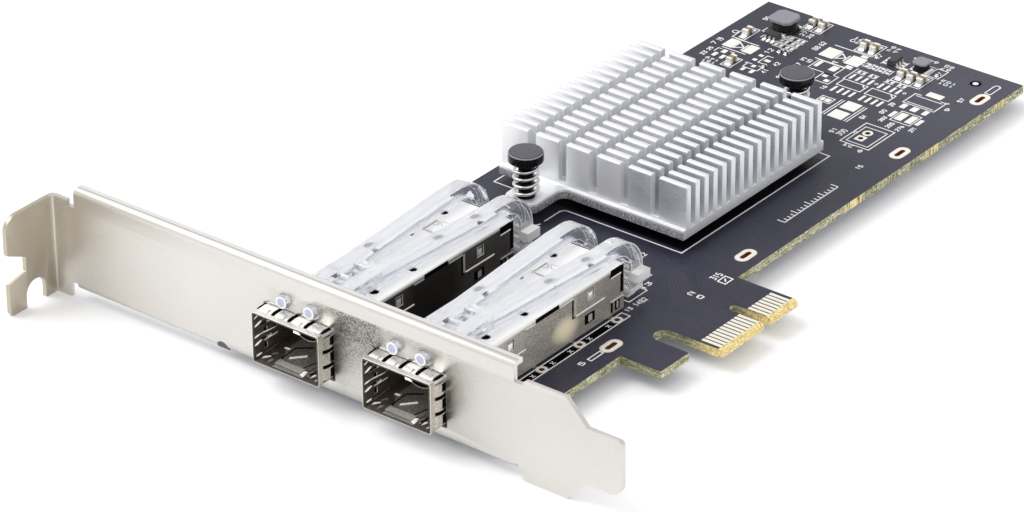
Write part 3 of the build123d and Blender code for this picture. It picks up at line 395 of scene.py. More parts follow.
# painted shade: the underside is made near black
under = g.math("LESS_THAN", nz, -0.5)
tone = g.mix(under, tone, (0.03, 0.03, 0.032))
sawn = g.every(low, upright, g.either(g.math("LESS_THAN", nx, -0.5), g.map(x, 68.7, 68.9, 1.0, 0.0)))
tone = g.mix(sawn, tone, g.ramp(rough_noise, [(0.40, (0.10, 0.10, 0.108)), (0.48, (0.42, 0.42, 0.44)),
                                              (0.56, (0.86, 0.86, 0.88))]))
g.to("Base Color", tone)
g.to("Roughness", g.map(fine, 0.3, 0.7, 0.38, 0.52))
g.bump(g.mix(flank, drag, lines), 0.25, 0.00003)
ALUMINIUM = g.mat

# clear moulded plastic: up-facing faces are made whiter and less clear as a painted sheen, and two low bands of the
# legs are whiter too
g = Graph("clear_plastic", (0.955, 0.965, 1.0), 0.03, 0.0, Transmission_Weight=0.90, IOR=1.27,
          Coat_Weight=0.6, Coat_Roughness=0.04, Coat_IOR=1.5)
at = g.position()
nx, ny, nz = g.normal()
x, y, z = g.card()
whitening = g.map(nz, 0.25, 0.85, 0.0, 0.66)
solid = g.either(g.within(z, 3.45, 5.35, 0.08), g.map(z, 1.9, 2.1, 1.0, 0.0))
whitening = g.math("MAXIMUM", whitening, solid)
g.to("Base Color", g.mix(whitening, (0.93, 0.945, 1.0), (0.995, 0.993, 0.99)))
g.to("Transmission Weight", g.math("SUBTRACT", g.math("SUBTRACT", 0.90, g.math("MULTIPLY", whitening, 0.45)), g.math("MULTIPLY", solid, 0.25)))
g.bump(g.noise(at, 0.9, 2.0, 0.5), 0.10, 0.0002)
CLEAR = g.mat


g = Graph("black_nylon", (0.006, 0.006, 0.007), 0.16, 0.0, Specular_IOR_Level=0.16)
at = g.position()
nx, ny, nz = g.normal()
fine = g.noise(at, 4.0, 4.0, 0.6)
# the crown is a rougher matt top, its lighter lavender tone partly a painted sheen; a pale band on the rounded edge
# below it is a painted rim highlight
crown = g.map(nz, 0.93, 0.97, 0.0, 1.0)
rim_highlight = g.every(g.map(nz, 0.30, 0.50, 0.0, 1.0), g.map(nz, 0.75, 0.92, 1.0, 0.0))
dark = g.mix(rim_highlight, (0.006, 0.006, 0.007), (0.26, 0.26, 0.29))
g.to("Base Color", g.mix(crown, dark, g.mix(g.map(fine, 0.35, 0.65, 0.0, 1.0), (0.094, 0.092, 0.116), (0.118, 0.115, 0.142))))
g.to("Roughness", g.math("ADD", 0.14, g.math("MULTIPLY", crown, 0.30)))
g.bump(fine, 0.12, 0.00002)
BLACK = g.mat


def chip_metal(name, centre, along_x, half):
    """Moulded body with bright gull-wing leads on two sides."""
    g = Graph(name, (0.03, 0.03, 0.032), 0.5)
    at = g.position()
    x, y, z = g.card()
    fine = g.noise(at, 7.0, 4.0, 0.6)
    off = g.math("ABSOLUTE", g.math("SUBTRACT", x if along_x else y, centre[0 if along_x else 1]))
    lead = g.map(off, half - 0.02, half + 0.02, 0.0, 1.0)
    body = g.mix(g.map(fine, 0.36, 0.64, 0.0, 1.0), (0.030, 0.030, 0.034), (0.055, 0.055, 0.060))
    g.to("Base Color", g.mix(lead, body, (0.90, 0.89, 0.87)))
    g.to("Metallic", g.math("MULTIPLY", lead, 0.8))
    g.to("Roughness", g.math("SUBTRACT", 0.55, g.math("MULTIPLY", lead, 0.27)))
    g.bump(fine, 0.3, 0.00002)
    return g.mat


MOULD = plastic("mould_compound", (0.030, 0.030, 0.032), 0.55, 8.0, 0.6)

# circuit board: dark mask on the faces, speckled glass fibre on the cut edges
g = Graph("solder_mask", (0.030, 0.030, 0.050), 0.40, 0.0, Specular_IOR_Level=0.28)
at = g.position()
x, y, z = g.card()
nx, ny, nz = g.normal()
face = g.math("MULTIPLY", g.math("GREATER_THAN", g.math("ABSOLUTE", nz), 0.9), g.math("GREATER_THAN", y, -11.35))
fine = g.noise(at, 5.0, 4.0, 0.6)
broad = g.noise(at, 0.06, 3.0, 0.5)
cloth = g.noise(g.position((900.0, 900.0, 900.0)), 1.7, 2.0, 0.5)
mask = g.mix(g.map(broad, 0.35, 0.65, 0.0, 1.0), (0.022, 0.021, 0.038), (0.032, 0.032, 0.054))
mask = g.mix(g.map(cloth, 0.40, 0.60, 0.0, 0.35), mask, (0.040, 0.040, 0.064))
# painted sheen: the mask grows lighter towards the far end and the lower edge
mask = g.mix(g.every(g.map(x, 112.0, 140.0, 0.0, 0.8), g.map(y, 46.0, 8.0, 0.15, 1.0)), mask, (0.066, 0.066, 0.092))
shade = g.every(g.within(x, 69.2, 110.2, 0.15), g.within(y, 12.5, 52.0, 0.15), g.math("GREATER_THAN", nz, 0.5))
mask = g.mix(shade, mask, (0.004, 0.004, 0.006))
weave = g.noise(at, 2.3, 5.0, 0.78)
layers = g.noise(g.position((300.0, 300.0, 5200.0)), 1.0, 2.0, 0.6)
edge = g.ramp(g.mix(0.40, weave, layers),
              [(0.38, (0.035, 0.033, 0.016)), (0.46, (0.22, 0.215, 0.105)),
               (0.525, (0.50, 0.49, 0.31)), (0.60, (0.86, 0.85, 0.68))])
edge = g.mix(g.math("LESS_THAN", nx, -0.6), edge, g.mix(0.5, edge, (0.10, 0.105, 0.045)))
gilt = g.every(g.map(y, -5.0, -10.5, 0.0, 1.0), g.map(x, 44.0, 45.0, 0.0, 1.0))
edge = g.mix(g.math("MULTIPLY", gilt, 0.88), edge,
             g.ramp(weave, [(0.35, (0.50, 0.32, 0.08)), (0.50, (0.82, 0.64, 0.25)), (0.60, (0.98, 0.88, 0.52))]))
bar = g.noise(g.position((3600.0, 800.0, 160.0)), 1.0, 3.0, 0.7)
snapped = g.every(g.either(g.within(x, 99.0, 104.0, 0.5), g.within(x, 123.4, 128.2, 0.5), g.within(x, 146.0, 149.6, 0.5)),
                  g.map(bar, 0.485, 0.515, 0.0, 1.0), g.map(y, 0.5, 1.0, 1.0, 0.0))
edge = g.mix(snapped, edge, (0.93, 0.74, 0.34))
edge = g.mix(g.every(g.within(x, 99.0, 149.6, 0.5), g.map(bar, 0.40, 0.47, 0.85, 0.0), g.map(y, 0.5, 1.0, 1.0, 0.0)),
             edge, (0.10, 0.09, 0.035))
g.to("Base Color", g.mix(face, edge, mask))
g.to("Roughness", g.math("ADD", g.math("MULTIPLY", g.math("SUBTRACT", 1.0, face), 0.22),
                         g.map(fine, 0.3, 0.7, 0.34, 0.44)))
g.bump(g.mix(face, weave, fine), 0.15, 0.00004)
BOARD = g.mat

CAD_LOOK = {
    "bracket": NICKEL, "circuit_board": BOARD, "edge_contacts": FINGER, "heatsink": ALUMINIUM,
    "thermal_pad": PAD, "controller_chip": MOULD, "memory_chip": MOULD,
    "regulator_1": chip_metal("regulator_1_look", (143.65, 46.95), True, 0.80),
    "regulator_2": chip_metal("regulator_2_look", (148.7, 23.3), False, 0.80),
    "crystal": STEEL, "push_pin_1": BLACK, "push_pin_2": BLACK,
    "pin_spring_1": STEEL, "pin_spring_2": STEEL, "bracket_screws": STEEL,
    "power_inductor": DRUM, "small_inductor": DRUM, "ceramic_capacitors": CERAMIC,
    "chip_resistors": RESISTOR, "status_leds": LED, "connector_contacts": GOLD,
}
for port, (mid_y, rise) in PORTS.items():
    metal = cage_metal(port + "_cage_metal", mid_y, rise, port == "port_2")
    CAD_LOOK[port + "_cage_body"] = metal
    CAD_LOOK[port + "_cage_cover"] = metal
    CAD_LOOK[port + "_earth_collar"] = collar_metal(port + "_collar_metal", mid_y, rise)
    CAD_LOOK[port + "_connector"] = CONNECTOR
    CAD_LOOK[port + "_light_pipe"] = CLEAR
for name, material in CAD_LOOK.items():
    mesh = NODES[name].data
    mesh.materials.clear()
    mesh.materials.append(material)


def soften(name, width, segments=2, angle=32.0):
    """Rounds the sharp edges of a CAD node with modifiers alone."""
    o = NODES[name]
    m = o.modifiers.new("weld", "WELD")
    m.merge_threshold = 2e-6
    m = o.modifiers.new("planar", "DECIMATE")
    m.decimate_type = "DISSOLVE"
    m.angle_limit = math.radians(0.6)
    m = o.modifiers.new("soften", "BEVEL")
    m.width = width / 1000
    m.segments = segments
    m.limit_method = "ANGLE"
    m.angle_limit = math.radians(angle)
    m.use_clamp_overlap = True
    m.harden_normals = True
    for poly in o.data.polygons:
        poly.use_smooth = True


soften("bracket", 0.13)
soften("heatsink", 0.075)
for n in ("push_pin_1", "push_pin_2"):
    soften(n, 0.20, 3)
soften("bracket_screws", 0.08)
for port in PORTS:
    soften(port + "_light_pipe", 0.18)


# ---------------------------------------------------------------------------
# Small solids: every print mark, pad and small part is a closed mesh
# ---------------------------------------------------------------------------
class Solids:
    """Collects closed solids, given in card millimetres, for one piece."""

    def __init__(self):
        self.verts, self.faces, self.slots = [], [], []

    def skin(self, loops, slot=0, joined=False):
        """One closed skin through rings of equally many points."""
        base, n = len(self.verts), len(loops[0])
        for ring in loops:
            self.verts += ring
        spans = len(loops) if joined else len(loops) - 1
        for k in range(spans):
            a, b = base + k * n, base + ((k + 1) % len(loops)) * n
            for i in range(n):
                j = (i + 1) % n
                self.faces.append((a + i, a + j, b + j, b + i))
                self.slots.append(slot)
        if not joined:
            top = base + (len(loops) - 1) * n
            self.faces.append(tuple(base + i for i in reversed(range(n))))
            self.faces.append(tuple(top + i for i in range(n)))
            self.slots += [slot, slot]

    def prism(self, outline, z0, z1, slot=0):
        self.skin([[(x, y, z0) for x, y in outline], [(x, y, z1) for x, y in outline]], slot)

    def stack(self, rings, slot=0):
        """rings: (outline, z) from low to high."""
        self.skin([[(x, y, z) for x, y in outline] for outline, z in rings], slot)

    def band(self, outer, inner, z0, z1, slot=0):
        self.skin([[(x, y, z0) for x, y in outer], [(x, y, z1) for x, y in outer],
                   [(x, y, z1) for x, y in inner], [(x, y, z0) for x, y in inner]], slot, joined=True)

    def bar_y(self, profile, y0, y1, slot=0):
        """A profile in x and z, carried along y."""
        self.skin([[(x, y0, z) for x, z in profile], [(x, y1, z) for x, z in profile]], slot)

    def bar_x(self, profile, x0, x1, slot=0):
        """A profile in y and z, carried along x."""
        self.skin([[(x0, y, z) for y, z in profile], [(x1, y, z) for y, z in profile]], slot)

    def block(self, x0, y0, z0, x1, y1, z1, slot=0):
        self.prism([(x0, y0), (x1, y0), (x1, y1), (x0, y1)], z0, z1, slot)

    def stroke(self, points, w, z0, z1, slot=0, closed=False):
        """A ribbon of width w along a polyline, with mitred corners."""
        n = len(points)
        left, right = [], []
        for i, p in enumerate(points):
            a = points[(i - 1) % n] if (closed or i > 0) else None
            b = points[(i + 1) % n] if (closed or i < n - 1) else None
            d1 = unit(a, p) if a is not None else unit(p, b)
            d2 = unit(p, b) if b is not None else d1
            nx, ny = -(d1[1] + d2[1]), d1[0] + d2[0]
            length = math.hypot(nx, ny) or 1.0
            nx, ny = nx / length, ny / length
            cos = max(0.45, nx * -d1[1] + ny * d1[0])
            k = w / 2 / cos
            left.append((p[0] + nx * k, p[1] + ny * k))
            right.append((p[0] - nx * k, p[1] - ny * k))
        if closed:
            self.band(left, right, z0, z1, slot)
        else:
            self.prism(left + right[::-1], z0, z1, slot)


def unit(a, b):
    dx, dy = b[0] - a[0], b[1] - a[1]
    length = math.hypot(dx, dy) or 1.0
    return dx / length, dy / length


def circle(cx, cy, r, n=28):
    return [(cx + r * math.cos(2 * math.pi * i / n), cy + r * math.sin(2 * math.pi * i / n)) for i in range(n)]


def arc(cx, cy, r, a0, a1, n=8):
    return [(cx + r * math.cos(math.radians(a0 + (a1 - a0) * i / n)),
             cy + r * math.sin(math.radians(a0 + (a1 - a0) * i / n))) for i in range(n + 1)]


def rounded(x0, y0, x1, y1, r, n=4):
    r = min(r, (x1 - x0) / 2 - 1e-4, (y1 - y0) / 2 - 1e-4)
    return (arc(x1 - r, y1 - r, r, 0, 90, n) + arc(x0 + r, y1 - r, r, 90, 180, n)
            + arc(x0 + r, y0 + r, r, 180, 270, n) + arc(x1 - r, y0 + r, r, 270, 360, n))


def piece(name, solids, materials, replaces=(), bevel=0.0, segments=2, smooth=False):
    mesh = bpy.data.meshes.new(name)
    mesh.from_pydata([P(*v) for v in solids.verts], [], solids.faces)
    for m in materials:
        mesh.materials.append(m)
    mesh.polygons.foreach_set("material_index", solids.slots)
    bm = bmesh.new()
    bm.from_mesh(mesh)
    bmesh.ops.recalc_face_normals(bm, faces=bm.faces)
    bm.to_mesh(mesh)
    bm.free()
    mesh.update()
    o = bpy.data.objects.new(name, mesh)
    scene.collection.objects.link(o)
    if bevel:
        m = o.modifiers.new("soften", "BEVEL")
        m.width = bevel / 1000
        m.segments = segments
        m.limit_method = "ANGLE"
        m.angle_limit = math.radians(32)
        m.harden_normals = True
    if bevel or smooth:
        for poly in mesh.polygons:
            poly.use_smooth = True
    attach(o, "root")
    if replaces:
        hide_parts(*replaces)
    return o


FACE = (-0.004, 0.022)                    # ink on the component side
BACK = (-BOARD_T - 0.022, -BOARD_T + 0.004)
PAD_FACE = (-0.004, 0.034)
PAD_BACK = (-BOARD_T - 0.034, -BOARD_T + 0.004)

DIGITS = {
    "0": [[(0.2, 0), (0.8, 0), (1, 0.25), (1, 0.75), (0.8, 1), (0.2, 1), (0, 0.75), (0, 0.25)]],
    "1": [[(0.2, 0.75), (0.55, 1), (0.55, 0)]],
    "2": [[(0, 0.8), (0.25, 1), (0.75, 1), (1, 0.8), (1, 0.6), (0, 0), (1, 0)]],
    "3": [[(0, 1), (1, 1), (0.5, 0.58), (0.8, 0.55), (1, 0.38), (1, 0.2), (0.75, 0), (0.25, 0), (0, 0.18)]],
    "4": [[(0.75, 0), (0.75, 1), (0, 0.3), (1, 0.3)]],
    "5": [[(0.95, 1), (0.1, 1), (0.05, 0.58), (0.7, 0.58), (1, 0.4), (1, 0.2), (0.75, 0), (0.25, 0), (0, 0.15)]],
    "6": [[(0.85, 1), (0.3, 0.85), (0, 0.45), (0, 0.2), (0.25, 0), (0.75, 0), (1, 0.2), (1, 0.38), (0.75, 0.55), (0.1, 0.5)]],
    "7": [[(0, 1), (1, 1), (0.35, 0)]],
    "8": [[(0.25, 0.53), (0, 0.3), (0, 0.18), (0.25, 0), (0.75, 0), (1, 0.18), (1, 0.3), (0.75, 0.53),
           (0.95, 0.7), (0.95, 0.85), (0.75, 1), (0.25, 1), (0.05, 0.85), (0.05, 0.7), (0.25, 0.53)]],
    "9": [[(0.15, 0), (0.7, 0.15), (1, 0.55), (1, 0.8), (0.75, 1), (0.25, 1), (0, 0.8), (0, 0.62), (0.25, 0.45), (0.9, 0.5)]],
}


def number(solids, box, digits, upright=False, w=0.19, level=FACE):
    """Plain digits that fill a box. upright: read from the right, up the card's y."""
    x0, y0, x1, y1 = box
    run, tall = (y1 - y0, x1 - x0) if upright else (x1 - x0, y1 - y0)
    pitch = run / len(digits)
    wide, tall = pitch * 0.66, tall - w
    for k, d in enumerate(digits):
        for line in DIGITS[d]:
            pts = []
            for u, v in line:
                s, t = (k + 0.17) * pitch + u * wide, w / 2 + v * tall
                pts.append((x1 - t, y0 + s) if upright else (x0 + s, y0 + t))
            solids.stroke(pts, w, *level)


# ---------------------------------------------------------------------------
# White print on the component side
# ---------------------------------------------------------------------------
ink = Solids()
LINE = 0.24


def line(*points, w=LINE, closed=False, level=FACE):
    ink.stroke(list(points), w, *level, closed=closed)


def frame_of(x0, y0, x1, y1, w=LINE):
    line((x0, y0), (x1, y0), (x1, y1), (x0, y1), w=w, closed=True)


# heatsink outline
line((69.0, 45.6), (69.0, 53.3), (111.0, 53.3), (111.0, 26.4), w=0.26)
line(*([(63.0, 37.6), (67.2, 37.6)] + arc(67.2, 36.5, 1.1, 90, 0, 6) + [(68.3, 12.35), (112.1, 12.35), (112.1, 17.9)]), w=0.26)
line(*arc(62.95, 41.5, 4.1, 120, 255, 14), w=0.24)
line(*arc(115.05, 21.7, 4.1, -75, 60, 14), w=0.24)
line((66.0, 46.0), (67.4, 47.4), w=0.3)
# cage outlines
for mid_y in (38.95, 15.80):
    line((4.2, mid_y - 7.55), (46.0, mid_y - 7.55), (46.0, mid_y - 9.3), (4.2, mid_y - 9.3), w=0.22)
    for cx in (16.2, 20.8, 26.1, 30.8, 36.0, 41.1):
        line((cx - 0.35, mid_y - 8.9), (cx + 0.35, mid_y - 8.1), w=0.17, level=(-0.004, 0.026))
        line((cx - 0.35, mid_y - 8.1), (cx + 0.35, mid_y - 8.9), w=0.17, level=(-0.004, 0.026))
    line((4.2, mid_y + 7.7), (47.9, mid_y + 7.7), (47.9, mid_y - 6.0), w=0.24)
    # lamp outlines behind the light pipe's legs
    for dy in (-4.7, 4.7):
        frame_of(49.6, mid_y + dy - 1.7, 54.6, mid_y + dy + 1.7, 0.22)
        line((55.0, mid_y + dy - 1.2), (55.0, mid_y + dy + 1.2), w=0.3)
# header without its pins
frame_of(118.05, 8.2, 126.35, 14.25, 0.22)
frame_of(118.85, 8.95, 125.1, 13.5, 0.20)
line((121.6, 13.5), (122.2, 14.2), (122.8, 13.5), w=0.2)
# unfitted choke
for yy in (22.8, 22.25, 17.95, 17.4):
    line((124.5, yy), (131.2, yy), w=0.2)
# framed footprints
frame_of(129.95, 7.6, 134.0, 11.75, 0.2)
line((137.0, 7.1), (141.1, 7.1), (141.1, 8.3), w=0.22)
line((137.0, 7.1), (137.0, 13.7), (141.1, 13.7), (141.1, 12.4), w=0.22)
line((137.6, 7.6), (137.6, 13.2), w=0.2)
line((140.5, 7.6), (140.5, 13.2), w=0.2)
frame_of(128.35, 23.8, 130.4, 26.5, 0.2)
# two-pad parts with side lines and a diode sign
for x0, x1, y0, y1, sy0, sy1 in ((135.15, 139.4, 47.0, 52.3, 48.7, 50.5), (141.8, 148.2, 28.2, 36.2, 31.4, 33.1)):
    line((x0, y0), (x0, y1))
    line((x1, y0), (x1, y1))
    cx = (x0 + x1) / 2
    line((cx - 1.3, sy0), (cx + 1.3, sy0), w=0.28)
    line((cx - 1.2, sy1), (cx, sy0 + 0.2), (cx + 1.2, sy1), w=0.28, closed=True)
frame_of(137.9, 29.5, 141.6, 35.1, 0.2)
frame_of(134.5, 28.3, 137.9, 31.5, 0.2)
line((138.0, 27.4), (143.0, 27.4), w=0.2)
line((131.0, 41.5), (132.8, 41.5), (132.8, 42.4), w=0.2)
line((131.0, 44.7), (132.8, 44.7), (132.8, 43.8), w=0.2)
line((131.0, 41.5), (131.0, 44.7), w=0.2)
line((134.0, 42.1), (134.0, 43.4), (137.1, 43.4), (137.1, 42.1), w=0.2)
line((132.9, 52.5), (134.4, 52.5), (134.4, 51.7), w=0.2)
line((132.9, 49.0), (134.4, 49.0), (134.4, 49.9), w=0.2)
frame_of(129.2, 46.2, 133.1, 48.4, 0.2)
# eight-lead chips, not fitted
for y0, y1 in ((22.0, 27.1), (15.9, 21.0)):
    frame_of(135.5, y0, 138.1, y1, 0.22)
    line((137.1, y0 + 0.15), (137.95, y0 + 1.0), w=0.22)
    line(*circle(139.9, y0 - 0.6, 0.28, 12), w=0.16, closed=True)
# rows of small parts
for x in (142.0, 143.8, 145.6):
    for y0, y1 in ((43.25, 45.5), (40.95, 43.0)):
        line((x - 0.72, y0), (x - 0.72, y1), w=0.17)
        line((x + 0.72, y0), (x + 0.72, y1), w=0.17)
for y0, y1 in ((25.0, 27.0), (22.6, 24.3), (18.8, 20.9), (16.3, 18.1)):
    line((141.35, y0), (141.35, y1), w=0.17)
    line((142.6, y0), (142.6, y1), w=0.17)
for yy in (26.7, 25.2, 23.7, 22.2):
    line((144.0, yy - 0.62), (146.1, yy - 0.62), w=0.17)
    line((144.0, yy + 0.62), (146.1, yy + 0.62), w=0.17)
# capacitor outlines
line((142.8, 14.3), (142.8, 20.3), w=0.2)
line((147.7, 14.3), (147.7, 20.3), w=0.2)
for yy in (14.25, 16.25, 18.35, 20.35):
    line((142.8, yy), (147.7, yy), w=0.17)
line((150.0, 41.0), (150.0, 45.1), w=0.2)
line((150.0, 43.05), (154.4, 43.05), w=0.17)
line((150.0, 45.1), (154.6, 45.1), (154.6, 41.0), (150.0, 41.0), w=0.2)
line((148.6, 28.1), (148.6, 32.3), (153.2, 32.3), (153.2, 28.1), w=0.2, closed=True)
line((139.6, 50.6), (139.6, 53.2), (144.8, 53.2), (144.8, 50.6), w=0.2, closed=True)
# diode outline, coils, regulators
frame_of(148.2, 13.65, 151.6, 15.95, 0.2)
for sx in (-1, 1):
    line((147.7 - 1.2, 47.2 + sx * 2.9), (147.7 - 2.9, 47.2 + sx * 2.9), (147.7 - 2.9, 47.2 + sx * 1.3), w=0.22)
    line((147.7 + 1.2, 47.2 + sx * 2.9), (147.7 + 2.9, 47.2 + sx * 2.9), (147.7 + 2.9, 47.2 + sx * 1.3), w=0.22)
    line((149.65 + sx * 1.9, 16.3), (149.65 + sx * 1.9, 19.9), w=0.2)
    line((148.7 - 1.6, 23.3 + sx * 2.1), (148.7 + 1.6, 23.3 + sx * 2.1), w=0.18)
line((142.5, 48.9), (144.8, 48.9), w=0.2)
line((142.5, 45.6), (144.8, 45.6), w=0.2)
line(*circle(141.6, 53.9, 0.55, 14), w=0.2, closed=True)
# marker bars beside the first plated slot and along the lower edge
line((30.5, 2.75), (30.5, 3.55), (33.75, 3.55), (33.75, 2.75), w=0.22, closed=True)
line(*([(148.8, 2.75), (151.9, 2.75)] + arc(151.9, 3.35, 0.6, -90, 90, 6) + [(148.8, 3.95)]), w=0.22, closed=True)
# a plain graduated scale along the middle of the board
line((87.6, 4.7), (103.7, 4.7), w=0.2)
for k in range(17):
    line((87.7 + k, 4.7), (87.7 + k, 6.25 if k % 4 == 0 else 5.6), w=0.22)

MARKS = [
    ((137.7, 43.8, 140.0, 45.0), "12", 0), ((139.2, 42.3, 141.0, 43.2), "30", 0), ((131.0, 39.8, 132.7, 40.9), "41", 0),
    ((134.6, 39.7, 136.2, 40.8), "42", 0), ((132.5, 53.2, 134.0, 54.1), "25", 0), ((134.9, 53.8, 136.2, 55.0), "7", 0),
    ((136.7, 53.6, 138.0, 55.0), "19", 0), ((139.5, 35.6, 140.7, 38.1), "53", 1), ((144.2, 37.6, 146.0, 38.8), "88", 0),
    ((146.4, 37.7, 148.0, 38.9), "62", 0), ((147.5, 42.9, 149.6, 43.9), "27", 0), ((147.4, 41.4, 149.4, 42.4), "26", 0),
    ((148.7, 52.0, 150.2, 53.0), "50", 0), ((151.1, 32.9, 152.2, 35.2), "70", 1), ((152.4, 32.9, 153.5, 35.2), "71", 1),
    ((132.2, 27.7, 133.8, 28.7), "16", 0), ((119.5, 16.8, 121.5, 17.9), "91", 0), ((119.5, 15.1, 122.0, 16.4), "300", 0),
    ((116.9, 11.0, 118.0, 13.0), "23", 1), ((116.2, 8.8, 117.6, 9.7), "6", 0), ((127.1, 15.5, 128.6, 16.6), "84", 0),
    ((134.2, 14.1, 135.7, 15.2), "39", 0), ((128.3, 12.4, 130.4, 13.3), "283", 0), ((127.0, 10.0, 129.3, 11.0), "285", 0),
    ((127.0, 8.0, 129.3, 8.9), "276", 0), ((128.2, 5.8, 130.0, 6.8), "271", 0), ((138.5, 5.2, 140.0, 6.1), "9", 0),
    ((151.8, 13.6, 152.8, 15.7), "67", 1), ((153.0, 13.6, 154.0, 15.7), "68", 1), ((152.1, 25.3, 153.1, 27.7), "47", 1),
    ((153.3, 25.3, 154.3, 27.7), "46", 1), ((146.8, 9.6, 147.6, 13.0), "101", 1), ((147.9, 9.6, 148.7, 13.0), "102", 1),
    ((46.8, 7.5, 48.4, 8.5), "13", 0), ((49.2, 7.4, 52.4, 8.6), "1482", 0), ((57.6, 0.2, 58.8, 1.9), "8", 1),
    ((57.6, 2.2, 58.8, 3.7), "2", 1), ((64.1, 2.3, 66.7, 3.7), "315", 0), ((28.0, 2.9, 29.6, 4.0), "5", 0),
    ((128.4, 49.2, 129.3, 52.3), "151", 1), ((129.6, 49.2, 130.5, 52.3), "149", 1), ((130.2, 53.0, 131.9, 54.0), "33", 0),
    ((144.6, 25.3, 145.6, 28.8), "20", 1), ((153.0, 17.0, 154.0, 19.2), "64", 1), ((124.9, 24.2, 126.6, 25.3), "74", 0),
    ((130.9, 13.9, 132.6, 14.9), "80", 0), ((142.9, 5.2, 144.6, 6.2), "57", 0), ((141.9, 31.4, 143.0, 33.2), "4", 1),
    ((126.0, 28.0, 127.7, 29.1), "35", 0), ((133.6, 33.0, 135.3, 34.1), "36", 0), ((131.0, 36.4, 132.7, 37.5), "90", 0),
    ((136.7, 36.6, 138.3, 37.6), "17", 0), ((122.6, 45.0, 124.3, 46.1), "52", 0), ((118.9, 48.6, 120.6, 49.7), "58", 0),
    ((123.9, 50.6, 125.9, 51.8), "105", 0), ((119.6, 53.0, 121.6, 54.1), "107", 0), ((112.6, 47.9, 114.3, 49.0), "11", 0),
    ((60.6, 49.4, 62.6, 50.6), "24", 0), ((56.6, 52.4, 58.6, 53.6), "28", 0), ((55.6, 10.0, 57.3, 11.0), "3", 0),
    ((55.6, 21.0, 56.6, 23.6), "44", 1), ((55.6, 33.1, 57.3, 34.1), "1", 0), ((55.6, 44.0, 56.6, 46.6), "45", 1),
    ((62.6, 16.6, 64.6, 17.8), "22", 0), ((57.6, 27.4, 59.6, 28.6), "63", 0), ((111.0, 5.4, 112.7, 6.4), "15", 0),
]
for box, digits, upright in MARKS:
    number(ink, box, digits, bool(upright), 0.2 if box[2] - box[0] > 1.0 else 0.17)
frame_of(64.2, 0.25, 66.4, 1.85, 0.24)
line((64.9, 0.75), (65.7, 1.35), w=0.26)
# solder side
for k, x0 in enumerate((57.0, 90.0, 120.0)):
    line((x0, 3.0), (x0 + 14.0, 3.0), w=0.22, level=BACK)
frame_b = [(60.2, 20.4), (71.8, 20.4), (71.8, 27.6), (60.2, 27.6)]
ink.stroke(frame_b, 0.22, *BACK, closed=True)
ink.stroke([(90.9, 3.9), (101.1, 3.9), (101.1, 12.1), (90.9, 12.1)], 0.22, *BACK, closed=True)
piece("board_print", ink, [PRINT])

# ---------------------------------------------------------------------------
# Bare pads, rings and solder
# ---------------------------------------------------------------------------
pads = Solids()
PADS = [
    (135.7, 50.7, 139.0, 52.8), (135.7, 46.3, 138.9, 48.4), (143.2, 33.4, 146.9, 36.5), (143.2, 27.9, 146.8, 31.0),
    (142.0, 28.4, 142.9, 29.8), (147.0, 28.4, 147.9, 29.8), (124.5, 18.5, 127.5, 21.6), (128.4, 18.5, 131.4, 21.6),
    (130.6, 9.9, 133.5, 11.4), (130.6, 7.9, 133.5, 9.2), (130.9, 12.1, 133.2, 12.9), (130.9, 6.4, 133.2, 7.2),
    (141.5, 8.7, 143.2, 11.9), (134.9, 12.1, 136.6, 13.2), (134.9, 9.7, 136.6, 11.0), (134.9, 7.5, 136.6, 8.5),
    (128.7, 24.1, 129.9, 25.2), (128.7, 25.4, 129.9, 26.2), (139.2, 30.2, 141.2, 31.6), (139.0, 33.9, 141.4, 34.7),
    (131.2, 51.2, 132.7, 52.0), (133.2, 50.3, 134.5, 51.3), (131.1, 49.4, 132.6, 50.2), (129.6, 43.7, 130.8, 44.4),
    (129.6, 41.7, 130.8, 42.5), (131.8, 42.7, 132.7, 43.5), (134.1, 44.0, 134.9, 44.9), (136.1, 44.0, 136.9, 44.9),
    (135.0, 41.7, 135.9, 42.9), (135.0, 28.8, 136.0, 29.8), (136.5, 30.1, 137.4, 31.1),
    # under fitted parts
    (140.1, 51.0, 141.6, 52.2), (143.0, 51.0, 144.4, 52.2), (129.5, 46.6, 130.6, 48.0), (131.9, 46.6, 132.9, 48.0),
    (150.4, 43.55, 152.3, 44.75), (153.6, 43.55, 154.3, 44.75), (150.4, 41.35, 152.1, 42.55), (153.5, 41.35, 154.2, 42.55),
    (148.9, 30.7, 150.2, 31.9), (151.5, 30.7, 152.8, 31.9), (148.9, 28.5, 150.0, 29.7), (151.3, 28.5, 152.7, 29.7),
    (148.8, 14.0, 149.2, 14.9), (149.6, 14.0, 150.1, 14.9), (148.4, 26.7, 148.9, 27.3), (149.2, 26.7, 149.7, 27.3),
    (139.3, 42.3, 139.7, 42.9), (140.1, 42.3, 140.5, 42.9), (139.3, 40.9, 139.7, 41.5), (140.1, 40.9, 140.5, 41.5),
    (132.6, 41.1, 133.0, 41.7), (133.4, 41.1, 133.8, 41.7),
    (144.9, 45.2, 146.4, 49.2), (149.0, 45.2, 150.5, 49.2), (148.3, 16.2, 151.0, 17.2), (148.3, 19.0, 151.0, 20.0),
]
for y in (15.2, 17.35, 19.4):
    PADS += [(143.3, y - 0.6, 144.7, y + 0.6), (145.9, y - 0.6, 147.2, y + 0.6)]
for y in (26.5, 25.1, 23.8, 22.5, 20.35, 19.05, 17.7, 16.45):
    PADS += [(132.7, y - 0.26, 134.9, y + 0.26), (138.7, y - 0.26, 140.8, y + 0.26)]
for y in (47.9, 46.95, 46.0):
    PADS += [(141.6, y - 0.3, 142.8, y + 0.3), (144.5, y - 0.3, 145.7, y + 0.3)]
